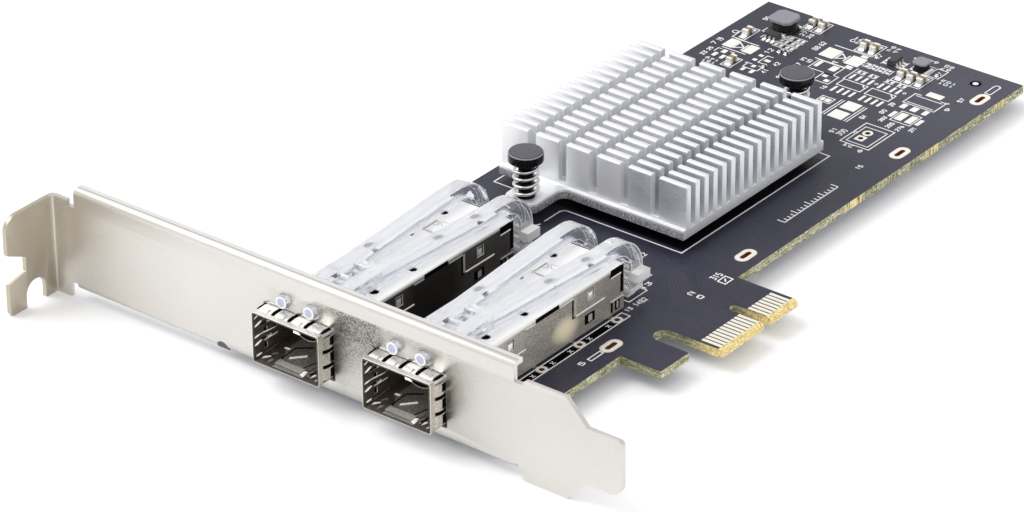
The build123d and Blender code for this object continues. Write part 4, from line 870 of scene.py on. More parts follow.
for x in (147.75, 148.7, 149.65):
    PADS += [(x - 0.3, 21.3, x + 0.3, 22.5), (x - 0.3, 24.1, x + 0.3, 25.3)]
for x in (142.0, 143.8, 145.6):
    for y in (43.9, 44.95, 41.5, 42.5):
        PADS.append((x - 0.42, y - 0.33, x + 0.42, y + 0.33))
for y0, y1 in ((25.0, 27.0), (22.6, 24.3), (18.8, 20.9), (16.3, 18.1)):
    m = (y0 + y1) / 2
    PADS += [(141.6, m + 0.22, 142.35, m + 0.85), (141.6, m - 0.85, 142.35, m - 0.22)]
for y in (26.7, 25.2, 23.7, 22.2):
    PADS += [(144.2, y - 0.36, 144.85, y + 0.36), (145.25, y - 0.36, 145.9, y + 0.36)]
for x0, y0, x1, y1 in PADS:
    pads.prism(rounded(x0, y0, x1, y1, 0.10, 2), *PAD_FACE)
for x, y in ((126.9, 33.0), (124.0, 37.0), (121.0, 42.0), (128.0, 31.0), (119.0, 46.0), (152.6, 21.4), (59.0, 18.0), (60.5, 31.0)):
    pads.prism(circle(x, y, 0.32, 14), *PAD_FACE)
# test points and vias of the far end, ringed in bare metal
VIAS = []
for i in range(64):
    VIAS.append((116.5 + 38.0 * random.random(), 3.2 + 50.5 * random.random()))
for i in range(26):
    VIAS.append((48.5 + 20.0 * random.random(), 5.0 + 48.0 * random.random()))
busy = [(x0 - 0.5, y0 - 0.5, x1 + 0.5, y1 + 0.5) for x0, y0, x1, y1 in PADS]
busy += [(x0 - 0.4, y0 - 0.4, x1 + 0.4, y1 + 0.4) for (x0, y0, x1, y1), _, _ in MARKS]
busy += [(144.5, 44.0, 151.0, 50.5), (147.0, 15.5, 152.5, 21.0), (142.0, 45.0, 145.5, 49.0), (146.5, 21.5, 151.0, 25.5),
         (111.0, 17.0, 119.5, 26.5), (58.0, 37.0, 68.9, 46.0), (117.5, 7.5, 127.0, 15.0), (48.0, 4.5, 56.5, 47.0),
         (143.0, 1.0, 153.0, 9.0), (118.0, 1.5, 124.0, 5.0), (45.0, 0.0, 48.5, 60.0)]
VIAS = [(x, y) for x, y in VIAS if not any(a < x < c and b < y < d for a, b, c, d in busy)]
for k, (x, y) in enumerate(VIAS):
    if k % 3 == 0:
        pads.band(circle(x, y, 0.30, 14), circle(x, y, 0.15, 14), *PAD_FACE)
# header holes: one square pad and one long one
pads.band(rounded(119.95, 10.9, 121.85, 12.7, 0.12, 5), circle(120.9, 11.8, 0.52, 24), *PAD_FACE)
oval = [(123.2 + 1.05 * math.cos(t), 11.85 + 0.95 * math.sin(t)) for t in [2 * math.pi * i / 24 for i in range(24)]]
pads.band(oval, circle(123.2, 11.85, 0.52, 24), *PAD_FACE)
# rings of the spare cage holes, on both sides
for mid_y in (38.95, 15.80):
    for x in PIN_X:
        for y in (mid_y - 8.35,):
            pads.band(circle(x, y, 1.05), circle(x, y, 0.50), *PAD_FACE)
            pads.band(circle(x, y, 1.05), circle(x, y, 0.50), *PAD_BACK)
        for s in (-1, 1):
            pads.band(circle(x, mid_y + s * 6.795, 0.85), circle(x, mid_y + s * 6.795, 0.30), *PAD_BACK)
# fiducials on the solder side
for x, y in ((8.0, 28.0), (151.0, 52.0), (70.0, 50.0)):
    pads.prism(circle(x, y, 0.5, 18), *PAD_BACK)
piece("board_pads", pads, [TIN])

# plated slots: cream tinned rings with a gold rim and a copper-brown wall
PLATED = ((36.3, 3.1), (74.3, 3.3), (120.5, 3.2), (146.1, 3.2))


def stadium(cx, cy, length, width, n=10):
    r = width / 2
    s = length / 2 - r
    return arc(cx + s, cy, r, -90, 90, n) + arc(cx - s, cy, r, 90, 270, n)


rings = Solids()
for cx, cy in PLATED:
    for level in (PAD_FACE, PAD_BACK):
        rings.band(stadium(cx, cy, 4.50, 2.40), stadium(cx, cy, 2.86, 0.96), *level)
        rings.band(stadium(cx, cy, 4.78, 2.66), stadium(cx, cy, 4.50, 2.40), level[0], level[1] - 0.008, 1)
    rings.band(stadium(cx, cy, 2.88, 0.98), stadium(cx, cy, 2.70, 0.80), -BOARD_T - 0.02, 0.02, 2)
for cx, cy in ((120.9, 11.8), (123.2, 11.85)):
    rings.band(circle(cx, cy, 0.50, 20), circle(cx, cy, 0.42, 20), -BOARD_T - 0.02, 0.03, 2)
# round registration mark: a bright dot in a bare ring
rings.prism(circle(150.85, 7.25, 0.55), -0.004, 0.034, 0)
rings.band(circle(150.85, 7.25, 1.05), circle(150.85, 7.25, 0.60), -0.004, 0.008, 3)
rings.band(circle(150.85, 7.25, 1.35), circle(150.85, 7.25, 1.12), -0.004, 0.012, 4)
for mid_y in (38.95, 15.80):
    for x in PIN_X:
        rings.band(circle(x, mid_y - 8.35, 0.50, 20), circle(x, mid_y - 8.35, 0.43, 20), -BOARD_T - 0.02, 0.03, 2)
piece("plated_slot_rings", rings, [TIN, GOLD, COPPER, VOID, TRACE])

# ---------------------------------------------------------------------------
# Covered copper: faint raised tracks under the mask
# ---------------------------------------------------------------------------
tracks = Solids()
TRACK = (-0.004, 0.011)


def track(*points, w=0.22):
    tracks.stroke(list(points), w, *TRACK)


def bundle(x0, y0, up, over, end, count, gap=0.62, side=1):
    """Parallel tracks: up the board, over at 45 degrees, then up again."""
    for k in range(count):
        d, lag = k * gap, k * gap * 0.414 * side
        track((x0 + d, y0), (x0 + d, up - lag), (x0 + d + side * over, up - lag + over), (x0 + d + side * over, end))


bundle(47.6, -6.9, -4.2, 2.0, 4.0, 4, 0.55)
bundle(53.4, -6.9, 2.6, 6.4, 11.9, 6, 0.62)
bundle(61.4, -6.9, 3.4, 3.0, 9.4, 4, 0.7)
bundle(78.0, 1.4, 5.0, 4.0, 11.9, 6, 0.7)
bundle(104.6, 1.2, 6.2, 4.5, 11.9, 4, 0.8, -1)
bundle(113.4, 28.0, 33.0, 4.0, 42.0, 7, 0.7)
bundle(125.0, 31.4, 34.4, 3.0, 42.0, 4, 0.8)
bundle(56.8, 14.0, 21.0, 6.0, 35.0, 5, 0.8)
for k in range(5):
    d = k * 0.75
    track((49.0, 26.5 + d), (55.6 - d * 0.414, 26.5 + d), (61.4 - d * 0.414, 32.3 + d), (67.8, 32.3 + d))
for k, (x, y) in enumerate(VIAS):
    if k % 3:
        tracks.prism(circle(x, y, 0.30, 12), *TRACK)
piece("covered_tracks", tracks, [TRACE])

# painted shade: dark walls inside the spare cage pads' holes, dark dots in the vias, and dark strips beside each cage
# for its shadow on the board
holes = Solids()
for mid_y in (38.95, 15.80):
    for x in PIN_X:
        holes.band(circle(x, mid_y - 8.35, 0.43, 20), circle(x, mid_y - 8.35, 0.40, 20), -BOARD_T + 0.05, -0.35)
for k, (x, y) in enumerate(VIAS):
    if k % 3 == 0:
        holes.prism(circle(x, y, 0.15, 10), -0.002, 0.006)
for mid_y in (38.95, 15.80):
    for x0, x1 in ((4.6, 12.1), (14.7, 22.1), (24.7, 32.2), (34.8, 42.3)):
        holes.block(x0, mid_y - 9.12, -0.002, x1, mid_y - 7.72, 0.012)
piece("board_painted_shade", holes, [VOID])
shade = Solids()
arch = [(55.8 + 1.32 * math.cos(math.radians(a)), -2.40 + 1.30 * math.sin(math.radians(a))) for a in range(0, 181, 12)]
shade.bar_x(arch, 0.30, 0.55)
piece("notch_shade", shade, [SHADE])

# ---------------------------------------------------------------------------
# Capacitors and resistors with tinned ends and solder
# ---------------------------------------------------------------------------
CAPS = ((142.3, 51.6), (131.2, 47.3), (152.9, 44.15), (152.75, 41.95),
        (150.8, 31.3), (150.65, 29.1), (145.3, 19.4), (145.3, 17.35), (145.3, 15.2))
CHIPS_0402 = ((149.4, 14.4), (149.0, 27.3), (139.9, 42.6), (139.9, 41.2), (133.2, 41.4))


def fillet(solids, x, y, side, reach, half, height, slot=0):
    """A concave solder fillet at the end of a chip part."""
    prof = [(x - side * 0.06, 0.03), (x - side * 0.06, height), (x, height)]
    for t in (0.2, 0.4, 0.6, 0.8, 1.0):
        prof.append((x + side * reach * t, height * (1 - t) ** 2.2 + 0.035))
    prof.append((x + side * reach, 0.03))
    solids.bar_y(prof, y - half, y + half, slot)


body = Solids()
joint = Solids()
for x, y in CAPS:
    body.block(x - 0.56, y - 0.585, 0.05, x + 0.56, y + 0.585, 1.16, 0)
    for s in (-1, 1):
        body.block(min(x + s * 0.46, x + s), y - 0.625, 0.03, max(x + s * 0.46, x + s), y + 0.625, 1.20, 1)
        fillet(joint, x + s * 0.99, y, s, 0.42, 0.56, 0.72)
piece("capacitor_bodies", body, [CERAMIC, TIN], ("ceramic_capacitors",), 0.09, 3)
body = Solids()
for x, y in CHIPS_0402:
    body.block(x - 0.28, y - 0.265, 0.04, x + 0.28, y + 0.265, 0.385, 0)
    for s in (-1, 1):
        body.block(min(x + s * 0.24, x + s * 0.5), y - 0.275, 0.03, max(x + s * 0.24, x + s * 0.5), y + 0.275, 0.40, 1)
        fillet(joint, x + s * 0.5, y, s, 0.2, 0.25, 0.26)
piece("resistor_bodies", body, [RESISTOR, TIN], ("chip_resistors",), 0.03, 2)
# solder of the regulators' leads
for y in (47.9, 46.95, 46.0):
    for s in (-1, 1):
        fillet(joint, 143.65 + s * 1.45, y, s, 0.3, 0.24, 0.22)
piece("part_solder", joint, [SOLDER], smooth=False)


def octagon(cx, cy, half, cut):
    c = half - cut
    return [(cx + half, cy - c), (cx + half, cy + c), (cx + c, cy + half), (cx - c, cy + half),
            (cx - half, cy + c), (cx - half, cy - c), (cx - c, cy - half), (cx + c, cy - half)]


def coil(name, node, cx, cy, half, high, along_x):
    """Shielded coil: grey lid, wound black drum, base plate with bright terminals."""
    s = Solids()
    cut = half * 0.36
    s.stack([(octagon(cx, cy, half * 0.97, cut), high * 0.76), (octagon(cx, cy, half, cut), high * 0.79),
             (octagon(cx, cy, half, cut), high * 0.95), (octagon(cx, cy, half * 0.95, cut), high)], 0)
    s.stack([(circle(cx, cy, half * 0.86, 36), 0.16), (circle(cx, cy, half * 0.90, 36), high * 0.22),
             (circle(cx, cy, half * 0.90, 36), high * 0.70), (circle(cx, cy, half * 0.84, 36), high * 0.78)], 1)
    s.stack([(octagon(cx, cy, half * 0.98, cut), 0.06), (octagon(cx, cy, half * 0.98, cut), high * 0.16),
             (octagon(cx, cy, half * 0.92, cut), high * 0.20)], 1)
    o = piece(name, s, [LID, DRUM], (node,), 0.06, 2)
    w = Solids()
    turns = 4
    for k in range(turns):
        z = high * (0.27 + 0.115 * k)
        r = half * 0.905
        loops = []
        for i in range(40):
            t = 2 * math.pi * i / 40
            ring = []
            for j in range(6):
                a = 2 * math.pi * j / 6
                rr = r + 0.10 * math.cos(a) * half / 2.45
                ring.append((cx + rr * math.cos(t), cy + rr * math.sin(t), z + 0.13 * math.sin(a) * half / 2.45))
            loops.append(ring)
        w.skin(loops, 0, joined=True)
    piece(name + "_winding", w, [DRUM], smooth=True)
    e = Solids()
    for sgn in (-1, 1):
        a, b = half * 0.55, half * 1.0
        lo, hi = sorted((sgn * a, sgn * b))
        if along_x:
            e.block(cx + lo, cy - half * 0.72, 0.03, cx + hi, cy + half * 0.72, high * 0.17)
        else:
            e.block(cx - half * 0.72, cy + lo, 0.03, cx + half * 0.72, cy + hi, high * 0.17)
    piece(name + "_terminals", e, [SOLDER], bevel=0.05)
    return o


coil("power_coil", "power_inductor", 147.7, 47.2, 2.44, 2.79, True)
coil("small_coil", "small_inductor", 149.65, 18.1, 1.49, 1.79, False)

# ---------------------------------------------------------------------------
# Cage trim: curled lower lips of the cover's tabs, and fingers inside each mouth
# ---------------------------------------------------------------------------
for port, (mid_y, rise) in PORTS.items():
    top, low = CAGE_TOP + rise, 0.20 + rise
    trim = Solids()
    for s in (-1, 1):
        face_y = mid_y + s * 7.22
        for x0, x1, z in ((12.8, 20.4, 4.6 + rise), (33.85, 41.6, 4.6 + rise)):
            prof = [(face_y - s * 0.20, z - 0.06), (face_y + s * 0.02, z - 0.10), (face_y + s * 0.22, z + 0.08),
                    (face_y + s * 0.27, z + 0.28), (face_y + s * 0.14, z + 0.40), (face_y - s * 0.05, z + 0.26)]
            trim.bar_x(prof, x0, x1)
            # painted highlight: a pale strip on the tab's front edge
            y0, y1 = face_y - s * 0.12, face_y + s * 0.03
            trim.block(x0 + 0.03, min(y0, y1), z + 0.2, x0 + 0.20, max(y0, y1), top - 1.05)
        zt = top - 1.15
        prof = [(face_y - s * 0.15, zt - 0.04), (face_y + s * 0.05, zt - 0.05), (face_y + s * 0.13, zt + 0.08),
                (face_y + s * 0.10, zt + 0.24), (face_y - s * 0.05, zt + 0.2)]
        trim.bar_x(prof, 20.6, 23.2)
        trim.bar_x(prof, 29.7, 33.4)
        # latch bumps seen in the tabs' windows
        for x in (16.75, 38.0):
            z = 7.0 + rise
            y0, y1 = mid_y + s * 6.93, mid_y + s * 7.19
            trim.skin([[(x - 0.70, y0, z - 0.92), (x + 0.68, y0, z - 0.92), (x + 0.68, y0, z + 0.78), (x - 0.70, y0, z + 0.78)],
                       [(x - 0.55, y1, z - 0.84), (x + 0.50, y1, z - 0.84), (x + 0.50, y1, z + 0.35), (x - 0.55, y1, z + 0.35)]])
        # curled edge under the rear notch and the ledge over the rear window
        prof = [(face_y - s * 0.10, top - 1.98), (face_y + s * 0.06, top - 1.98), (face_y + s * 0.12, top - 1.84),
                (face_y + s * 0.06, top - 1.70), (face_y - s * 0.10, top - 1.72)]
        trim.bar_x(prof, 43.45, 46.2)
        y0, y1 = mid_y + s * 6.90, mid_y + s * 7.16
        trim.block(43.75, min(y0, y1), low + 2.50, 47.15, max(y0, y1), low + 2.68)
    piece(port + "_cover_lips", trim, [BRIGHT], bevel=0.04)

    # painted shade: dark patches for the shadow in the gaps round the tabs, behind the windows and between the fingers
    gap_shade = Solids()

    def patch(s, x0, x1, z0, z1, lay):
        """A dark patch of painted shade lying on a side face, lay being its outer half width."""
        a, b = mid_y + s * (lay - 0.035), mid_y + s * lay
        gap_shade.block(x0, min(a, b), z0, x1, max(a, b), z1)

    for s in (-1, 1):
        for x0, x1 in ((12.85, 20.3), (33.7, 41.6)):
            foot = 4.36 + rise
            patch(s, x0 - 0.34, x0 + 0.02, foot, top - 0.75, 6.935)
            patch(s, x1 - 0.02, x1 + 0.20, foot + 0.3, top - 1.2, 6.935)
            patch(s, x0 - 0.34, x1 + 0.10, foot - 0.14, foot + 0.12, 6.935)
        patch(s, 20.55, 33.4, top - 1.42, top - 1.16, 6.935)
        patch(s, 23.35, 29.5, top - 1.14, top - 0.34, 7.234)
        patch(s, 43.35, 46.25, top - 1.68, top - 0.36, 7.234)
        patch(s, 46.45, 47.25, 3.5 + rise, top - 0.75, 6.935)
        for x in (16.8, 38.1):
            patch(s, x - 0.97, x + 0.99, 5.90 + rise, 8.06 + rise, 6.935)
        # lower window and rear window, framed in shade
        patch(s, 36.75, 39.45, low + 1.42, low + 3.22, 6.935)
        patch(s, 43.85, 44.40, low + 0.42, low + 2.50, 6.935)
        patch(s, 44.95, 46.30, low + 0.55, low + 2.38, 6.935)
        # between and behind the side fingers of the collar
        for dz in (-1.4, 1.4):
            patch(s, -2.3, -0.15, (low + top) / 2 + dz - 0.25, (low + top) / 2 + dz + 0.25, 6.93)
            mz = (low + top) / 2 + dz
            loops = []
            for x, w, out in ((-2.45, 0.07, 7.08), (-1.9, 0.20, 7.28), (-1.35, 0.30, 7.40), (-0.75, 0.34, 7.37), (-0.05, 0.38, 7.29)):
                a, b = mid_y + s * (out - 0.05), mid_y + s * out
                loops.append([(x, a, mz - w), (x, b, mz - w), (x, b, mz + w), (x, a, mz + w)])
            gap_shade.skin(loops)
        for dz, h in ((-2.85, 0.85), (0.0, 0.88), (2.95, 0.72)):
            mz = (low + top) / 2 + dz
            patch(s, -0.98, -0.12, mz - 0.52, mz + 0.52, 6.93)
            loops = []
            for x, out in ((-1.02, 7.415), (-0.55, 7.39), (-0.06, 7.34)):
                a, b = mid_y + s * (out - 0.05), mid_y + s * out
                loops.append([(x, a, mz - h), (x, b, mz - h), (x, b, mz + h), (x, a, mz + h)])
            gap_shade.skin(loops)
        # corner between the upper and the side fingers
        loops = []
        for x, w in ((-2.4, 0.10), (-1.6, 0.24), (-0.06, 0.28)):
            a, b = mid_y + s * (6.74 - w), mid_y + s * (6.74 + w)
            loops.append([(x, a, top + 0.13), (x, b, top + 0.10), (x, b, top + 0.16), (x, a, top + 0.20)])
        gap_shade.skin(loops)
    for dy in (-3.4, 0.0, 3.4):
        gap_shade.block(-2.5, mid_y + dy - 0.34, top - 0.03, 0.0, mid_y + dy + 0.34, top + 0.012)
        loops = []
        for x, w, z in ((-2.75, 0.05, 0.12), (-2.35, 0.30, 0.19), (-1.9, 0.42, 0.28), (-1.35, 0.43, 0.335),
                        (-0.7, 0.36, 0.325), (-0.04, 0.30, 0.275)):
            loops.append([(x, mid_y + dy - w, top + z - 0.04), (x, mid_y + dy + w, top + z - 0.04),
                          (x, mid_y + dy + w, top + z), (x, mid_y + dy - w, top + z)])
        gap_shade.skin(loops)
    piece(port + "_cage_gap_shade", gap_shade, [VOID])

    # latch tongue, guide springs and clip inside the mouth; the emissive strips and patches are painted highlights, the
    # dark ones painted shade
    mouth = Solids()
    flat = low + 0.26
    mouth.prism([(-2.45, mid_y - 2.05), (-0.95, mid_y - 2.0), (-0.95, mid_y + 3.15), (-2.35, mid_y + 3.1)], flat, flat + 0.10, 0)
    mouth.prism([(-3.30, mid_y - 3.2), (-2.62, mid_y - 3.1), (-2.62, mid_y + 3.0), (-3.30, mid_y + 3.1)], flat, flat + 0.06, 2)
    mouth.prism([(-0.85, mid_y - 2.6), (16.0, mid_y - 4.6), (16.0, mid_y + 5.2), (2.2, mid_y + 4.9), (-0.6, mid_y + 3.0)],
                flat, flat + 0.03, 1)
    mouth.prism([(0.02, mid_y + 2.32), (0.30, mid_y + 2.42), (2.46, mid_y + 0.56), (2.30, mid_y + 0.36)], flat + 0.05, flat + 0.24, 4)
    mouth.prism([(3.2, mid_y + 3.6), (3.36, mid_y + 3.72), (5.2, mid_y + 1.4), (5.0, mid_y + 1.3)], flat + 0.03, flat + 0.16, 3)
    # bright patches of the floor beside the tongue, most of them emissive as painted highlights
    mouth.prism([(-3.0, mid_y - 3.2), (-1.35, mid_y - 2.72), (-1.6, mid_y - 2.15), (-2.75, mid_y - 2.3)], flat + 0.02, flat + 0.12, 4)
    mouth.prism([(-2.6, mid_y - 4.3), (-1.30, mid_y - 4.65), (-1.45, mid_y - 4.2)], flat, flat + 0.08, 4)
    mouth.prism([(-2.9, mid_y - 5.5), (-2.15, mid_y - 5.85), (-2.2, mid_y - 5.55)], flat, flat + 0.08, 4)
    mouth.prism([(-2.45, mid_y + 6.05), (-1.1, mid_y + 5.25), (-1.0, mid_y + 5.45), (-1.7, mid_y + 6.15)], flat, flat + 0.08, 4)
    mouth.prism([(-3.0, mid_y + 4.6), (-2.0, mid_y + 4.25), (-1.35, mid_y + 4.3), (-1.9, mid_y + 4.75)], flat, flat + 0.08, 2)
    mouth.prism([(-0.6, mid_y + 5.6), (0.5, mid_y + 5.0), (0.6, mid_y + 5.3), (-0.3, mid_y + 5.8)], flat, flat + 0.06, 2)
    mouth.prism([(2.2, mid_y + 5.2), (2.6, mid_y + 5.1), (2.6, mid_y + 4.2), (2.2, mid_y + 4.3)], flat + 0.03, flat + 0.14, 4)
    # dark slots in the floor, drawn as painted shade
    mouth.prism([(-1.1, mid_y - 1.5), (1.8, mid_y - 2.1), (1.8, mid_y - 1.85), (-1.0, mid_y - 1.25)], flat + 0.04, flat + 0.07, 3)
    mouth.prism([(-2.0, mid_y - 3.75), (1.4, mid_y - 4.1), (1.4, mid_y - 3.8), (-1.9, mid_y - 3.45)], flat, flat + 0.05, 3)
    mouth.prism([(-0.7, mid_y + 3.3), (3.4, mid_y + 3.6), (3.3, mid_y + 3.85), (-0.7, mid_y + 3.55)], flat + 0.04, flat + 0.07, 3)
    # guide springs pressed out of the far side wall, drawn as bright slivers; the emissive ones are painted highlights
    wall = mid_y + 6.67

    def strip(path, half, slot, lift=0.05):
        """A bright sliver along the side wall, through (x, z, stand-off) points; slot 4 makes it emissive, a painted
        highlight.
        """
        loops = []
        for k, (x, z, off) in enumerate(path):
            hw = half if 0 < k < len(path) - 1 else half * 0.45
            yy = wall - off
            loops.append([(x, yy, z - hw), (x, yy - lift, z - hw), (x, yy - lift, z + hw), (x, yy, z + hw)])
        mouth.skin(loops, slot)

    strip([(-3.35, 8.05 + rise, 0.02), (-2.7, 8.35 + rise, 0.05), (-1.9, 8.35 + rise, 0.05)], 0.15, 4)
    strip([(-3.25, 6.55 + rise, 0.02), (-2.5, 6.85 + rise, 0.10), (-1.8, 7.1 + rise, 0.15)], 0.24, 4)
    strip([(-1.5, 7.15 + rise, 0.10), (-0.6, 7.05 + rise, 0.12), (0.6, 6.75 + rise, 0.06)], 0.13, 2)
    strip([(-3.4, 4.50 + rise, 0.02), (-2.9, 4.62 + rise, 0.08), (-2.2, 4.75 + rise, 0.14)], 0.16, 4)
    strip([(-2.3, 4.75 + rise, 0.14), (-1.2, 4.78 + rise, 0.20), (0.2, 4.60 + rise, 0.24), (1.5, 4.48 + rise, 0.20)], 0.08, 4)
    strip([(1.4, 4.48 + rise, 0.18), (2.2, 4.50 + rise, 0.14), (2.7, 4.85 + rise, 0.06)], 0.13, 2)
    strip([(-3.35, 3.05 + rise, 0.02), (-2.7, 3.25 + rise, 0.08), (-1.85, 3.50 + rise, 0.12)], 0.24, 4)
    strip([(-1.1, 3.10 + rise, 0.05), (0.6, 3.12 + rise, 0.05), (2.3, 3.10 + rise, 0.02)], 0.075, 4)
    strip([(-3.1, 0.98 + rise, 0.02), (-2.5, 1.02 + rise, 0.06), (-1.8, 1.06 + rise, 0.04)], 0.19, 4)
    strip([(-1.9, 0.62 + rise, 0.02), (0.3, 0.72 + rise, 0.03), (2.8, 0.90 + rise, 0.01)], 0.06, 2)
    # clip and arch below the roof: the clip is emissive as a painted highlight, the arch a dark patch of painted shade
    # with a pale rim
    mouth.block(-3.42, mid_y - 2.75, top - 0.86, -3.10, mid_y - 1.75, top - 0.27, 4)
    mouth.block(-3.35, mid_y - 3.15, top - 0.95, -3.05, mid_y - 2.75, top - 0.62, 4)
    arch = [(mid_y - 4.7 + 1.95 * math.cos(math.radians(a)), top - 0.24 - 0.98 * math.sin(math.radians(a)))
            for a in range(0, 181, 12)]
    under = [(y, z - 0.13) for y, z in arch]
    mouth.bar_x(arch, -3.34, -3.28, 3)
    n = len(arch)
    mouth.skin([[(-3.36, *arch[k]), (-3.36, *under[k]), (-3.27, *under[k]), (-3.27, *arch[k])] for k in range(2, n - 2)], 1)
    piece(port + "_mouth_springs", mouth, [TONGUE, CAVITY, BRIGHT, VOID, GLINT])

    # bright posts in the lower windows
    post = Solids()
    for s in (-1, 1):
        y0 = mid_y + s * 6.90
        y1 = mid_y + s * 6.99
        lo, hi = min(y0, y1), max(y0, y1)
        post.skin([[(37.55, y0, low + 1.55), (38.75, y0, low + 1.55), (38.75, y0, low + 2.75), (37.55, y0, low + 2.75)],
                   [(37.95, y1, low + 1.75), (38.70, y1, low + 1.75), (38.70, y1, low + 2.95), (37.95, y1, low + 2.95)]])
        post.block(45.40, lo, low + 0.85, 45.85, hi, low + 2.10)
    post.block(34.2, mid_y - 2.1, top - 0.37, 39.2, mid_y + 3.0, top - 0.262)
    piece(port + "_window_posts", post, [BRIGHT])

    # pressed outline of the latch leaf on the cover
    leaf = Solids()
    leaf.stroke([(38.75, mid_y + 1.35), (39.05, mid_y - 0.45), (38.9, mid_y - 0.75), (38.5, mid_y - 0.7), (37.5, mid_y + 0.1),
                 (37.5, mid_y + 0.35), (38.35, mid_y + 1.4)], 0.11, top - 0.01, top + 0.012, closed=True)
    leaf.stroke([(37.0, mid_y + 2.0), (37.5, mid_y + 1.2), (38.2, mid_y + 1.75), (38.6, mid_y + 2.2)], 0.10, top - 0.01, top + 0.012)
    piece(port + "_cover_leaf", leaf, [DULL])

    inner = Solids()
    for s in (-1,):
        for k, z in enumerate((1.7, 3.5, 5.3, 7.3)):
            z += rise
            ya, yb, yc = mid_y + s * 6.64, mid_y + s * 5.95, mid_y + s * 6.35
            x0, x1, x2 = -3.3, -0.6, 2.4
            h = 0.21
            path = [(x0, ya), (x1, yb), (x2, yc)]
            back = [(x, yy + s * 0.10) for x, yy in path]
            outline = path + back[::-1]
            inner.prism(outline, z - h, z + h)
    piece(port + "_mouth_fingers", inner, [BRIGHT], bevel=0.03)

    # light pipe: painted light on its front lens faces, a pale ring round a lavender disc, and pale lines along its
    # bends as painted edge highlights
    pipe_low, pipe_high, tip_z = 9.45 + rise, 11.80 + rise, 11.30 + rise
    bend_x, inner_x = 53.8 - 6.8, 50.5 - 3.7
    clear = Solids()
    for s in (-1, 1):
        y = mid_y + s * 2.90
        for r0, r1, xa, xb, slot in ((1.11, 0.76, -0.955, -0.88, 0),):
            outer = [(y + r0 * math.cos(2 * math.pi * k / 36), tip_z + r0 * math.sin(2 * math.pi * k / 36)) for k in range(36)]
            core = [(y + r1 * math.cos(2 * math.pi * k / 36), tip_z + r1 * math.sin(2 * math.pi * k / 36)) for k in range(36)]
            clear.skin([[(xb, *p) for p in outer], [(xa, *p) for p in outer],
                        [(xa, *p) for p in core], [(xb, *p) for p in core]], slot, joined=True)
        core = [(y + 0.77 * math.cos(2 * math.pi * k / 36), tip_z + 0.77 * math.sin(2 * math.pi * k / 36)) for k in range(36)]
        clear.skin([[(-0.89, *p) for p in core], [(-0.935, *p) for p in core]], 1)

        def rail(y0, y1, r, w, a0, a1, drop):
            """A thin pale line along the bend's outline, on one flank: a painted edge highlight."""
            pts = []
            for k in range(17):
                a = math.radians(a0 + (a1 - a0) * k / 16)
                pts.append((bend_x + r * math.sin(a), pipe_high - 6.8 + r * math.cos(a)))
            if drop:
                pts.append((bend_x + r, drop))
            loops = []
            for k, (px, pz) in enumerate(pts):
                a = math.radians(min(90.0, a0 + (a1 - a0) * k / 16)) if k < 17 else math.radians(90.0)
                ux, uz = math.sin(a), math.cos(a)
                loops.append([(px, y0, pz), (px, y1, pz), (px - w * ux, y1, pz - w * uz), (px - w * ux, y0, pz - w * uz)])
            clear.skin(loops, 0)

        rear = mid_y + s * 4.70
        for side in (-1, 1):
            ya = rear + side * 1.35
            yb = rear + side * 1.412
            y0, y1 = min(ya, yb), max(ya, yb)
            rail(y0, y1, 6.74, 0.10, 0, 90, 2.4 + rise)
            rail(y0, y1, 6.02, 0.07, 28, 90, 5.4 + rise)
            # painted highlight along the inner outline of the bend
            loops = []
            for k in range(13):
                a = math.radians(90.0 * k / 12)
                px, pz = inner_x + 3.76 * math.sin(a), pipe_low - 3.7 + 3.76 * math.cos(a)
                ux, uz = math.sin(a), math.cos(a)
                loops.append([(px, y0, pz), (px, y1, pz), (px + 0.10 * ux, y1, pz + 0.10 * uz), (px + 0.10 * ux, y0, pz + 0.10 * uz)])
            clear.skin(loops, 0)
        # grey lines along the arm's edges as painted edge reflection, and the cover's pilot holes seen through it,
        # painted as dark ovals
        front = mid_y + s * 2.90
        for o in (-1.20, 1.20):
            clear.stroke([(46.6, rear + o), (43.0, rear + o), (17.0, front + o), (7.3, front + o)], 0.09,
                         pipe_high - 0.02, pipe_high + 0.006, 2)
        for hx, hy in ((40.0, -4.55), (30.7, -4.15)) if s < 0 else ((21.7, 3.35),):
            oval = [(hx + 0.95 * math.cos(2 * math.pi * k / 20), mid_y + hy + 0.62 * math.sin(2 * math.pi * k / 20)) for k in range(20)]
            clear.prism(oval, pipe_high - 0.02, pipe_high + 0.005, 3)
    piece(port + "_pipe_glints", clear, [EDGE_GLINT, LENS, EDGE_LINE, HOLE_SPOT])

# solder of the cage pins and lamp pins on the solder side
joints = Solids()
for port, (mid_y, rise) in PORTS.items():
    spots = [(x, mid_y + s * 6.795, 0.62) for x in PIN_X for s in (-1, 1)]
    spots += [(47.27, mid_y + s * 3.6, 0.55) for s in (-1, 1)]
    for x, y, r in spots:
        z = -BOARD_T
        joints.stack([(circle(x, y, 0.16, 18), z - 0.62), (circle(x, y, 0.27, 18), z - 0.42),
                      (circle(x, y, 0.42 * r / 0.62, 18), z - 0.18), (circle(x, y, r, 18), z - 0.03),
                      (circle(x, y, r, 18), z + 0.004)])
piece("pin_solder", joints, [SOLDER], smooth=True)

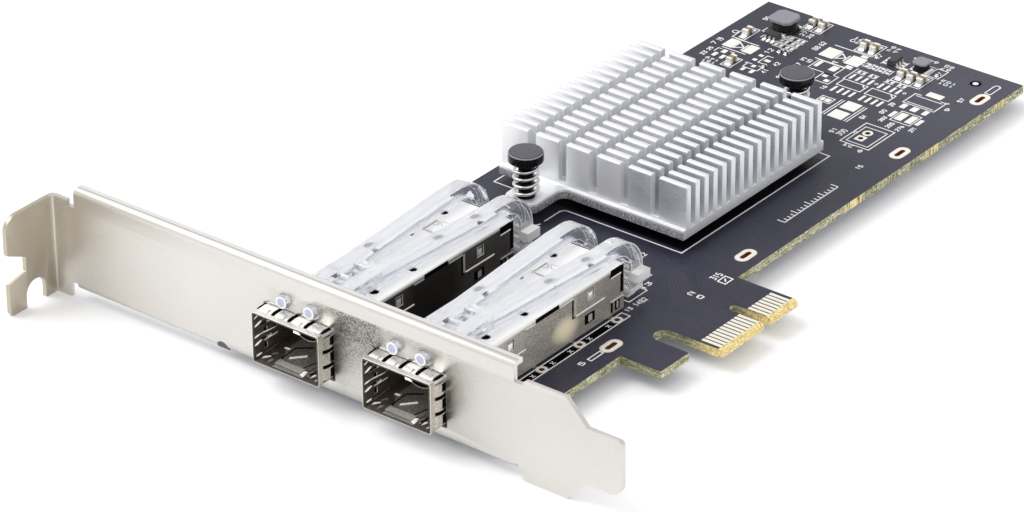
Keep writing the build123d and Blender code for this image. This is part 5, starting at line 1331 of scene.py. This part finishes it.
# ---------------------------------------------------------------------------
# Floor, light and camera
# ---------------------------------------------------------------------------
floor_mesh = bpy.data.meshes.new("floor")
floor_mesh.from_pydata([(-6, -6, 0), (6, -6, 0), (6, 6, 0), (-6, 6, 0)], [], [(0, 1, 2, 3)])
floor = bpy.data.objects.new("floor", floor_mesh)
scene.collection.objects.link(floor)
g = Graph("pale_floor", (0.93, 0.93, 0.94), 0.9, 0.0, Emission_Color=(0.88, 0.93, 1.0, 1.0), Emission_Strength=0.09)
g.to("Base Color", g.mix(g.noise(g.position(), 0.002), (0.925, 0.925, 0.935), (0.935, 0.935, 0.945)))
floor_mesh.materials.append(g.mat)
floor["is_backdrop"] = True

world = bpy.data.worlds.new("studio")
scene.world = world
world.use_nodes = True
wt = world.node_tree
wt.nodes["Background"].inputs["Color"].default_value = (1.0, 1.0, 1.0, 1.0)
wt.nodes["Background"].inputs["Strength"].default_value = 0.84


def area(name, at, aim, size, power, color=(1, 1, 1)):
    light = bpy.data.lights.new(name, "AREA")
    light.shape = "RECTANGLE"
    light.size, light.size_y = size
    light.energy = power
    light.color = color
    o = bpy.data.objects.new(name, light)
    o.location = at
    o.rotation_mode = "QUATERNION"
    o.rotation_quaternion = (Vector(aim) - Vector(at)).to_track_quat("-Z", "Y")
    scene.collection.objects.link(o)
    return o


area("key", (-0.35, 0.75, 1.05), (0, 0, 0), (0.9, 0.9), 9.0)
area("fill", (-0.9, -1.1, 0.75), (0, 0, 0), (1.2, 0.9), 2.5, (1.0, 0.985, 0.96))

camera = bpy.data.cameras.new("camera")
camera.lens = 169.03
camera.sensor_width = 36.0
camera.clip_start, camera.clip_end = 0.01, 50
cam = bpy.data.objects.new("camera", camera)
right = Vector((0.616822, -0.787077, -0.006336))
up = Vector((0.388848, 0.297716, 0.871873))
back = Vector((-0.684345, -0.540254, 0.489691))
m = Matrix((right, up, back)).transposed().to_4x4()
m.translation = Vector((-0.578202, -0.438175, 0.402208))
cam.matrix_world = m
scene.collection.objects.link(cam)
scene.camera = cam

scene.view_settings.view_transform = "Standard"
scene.view_settings.exposure = 0.0

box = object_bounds()
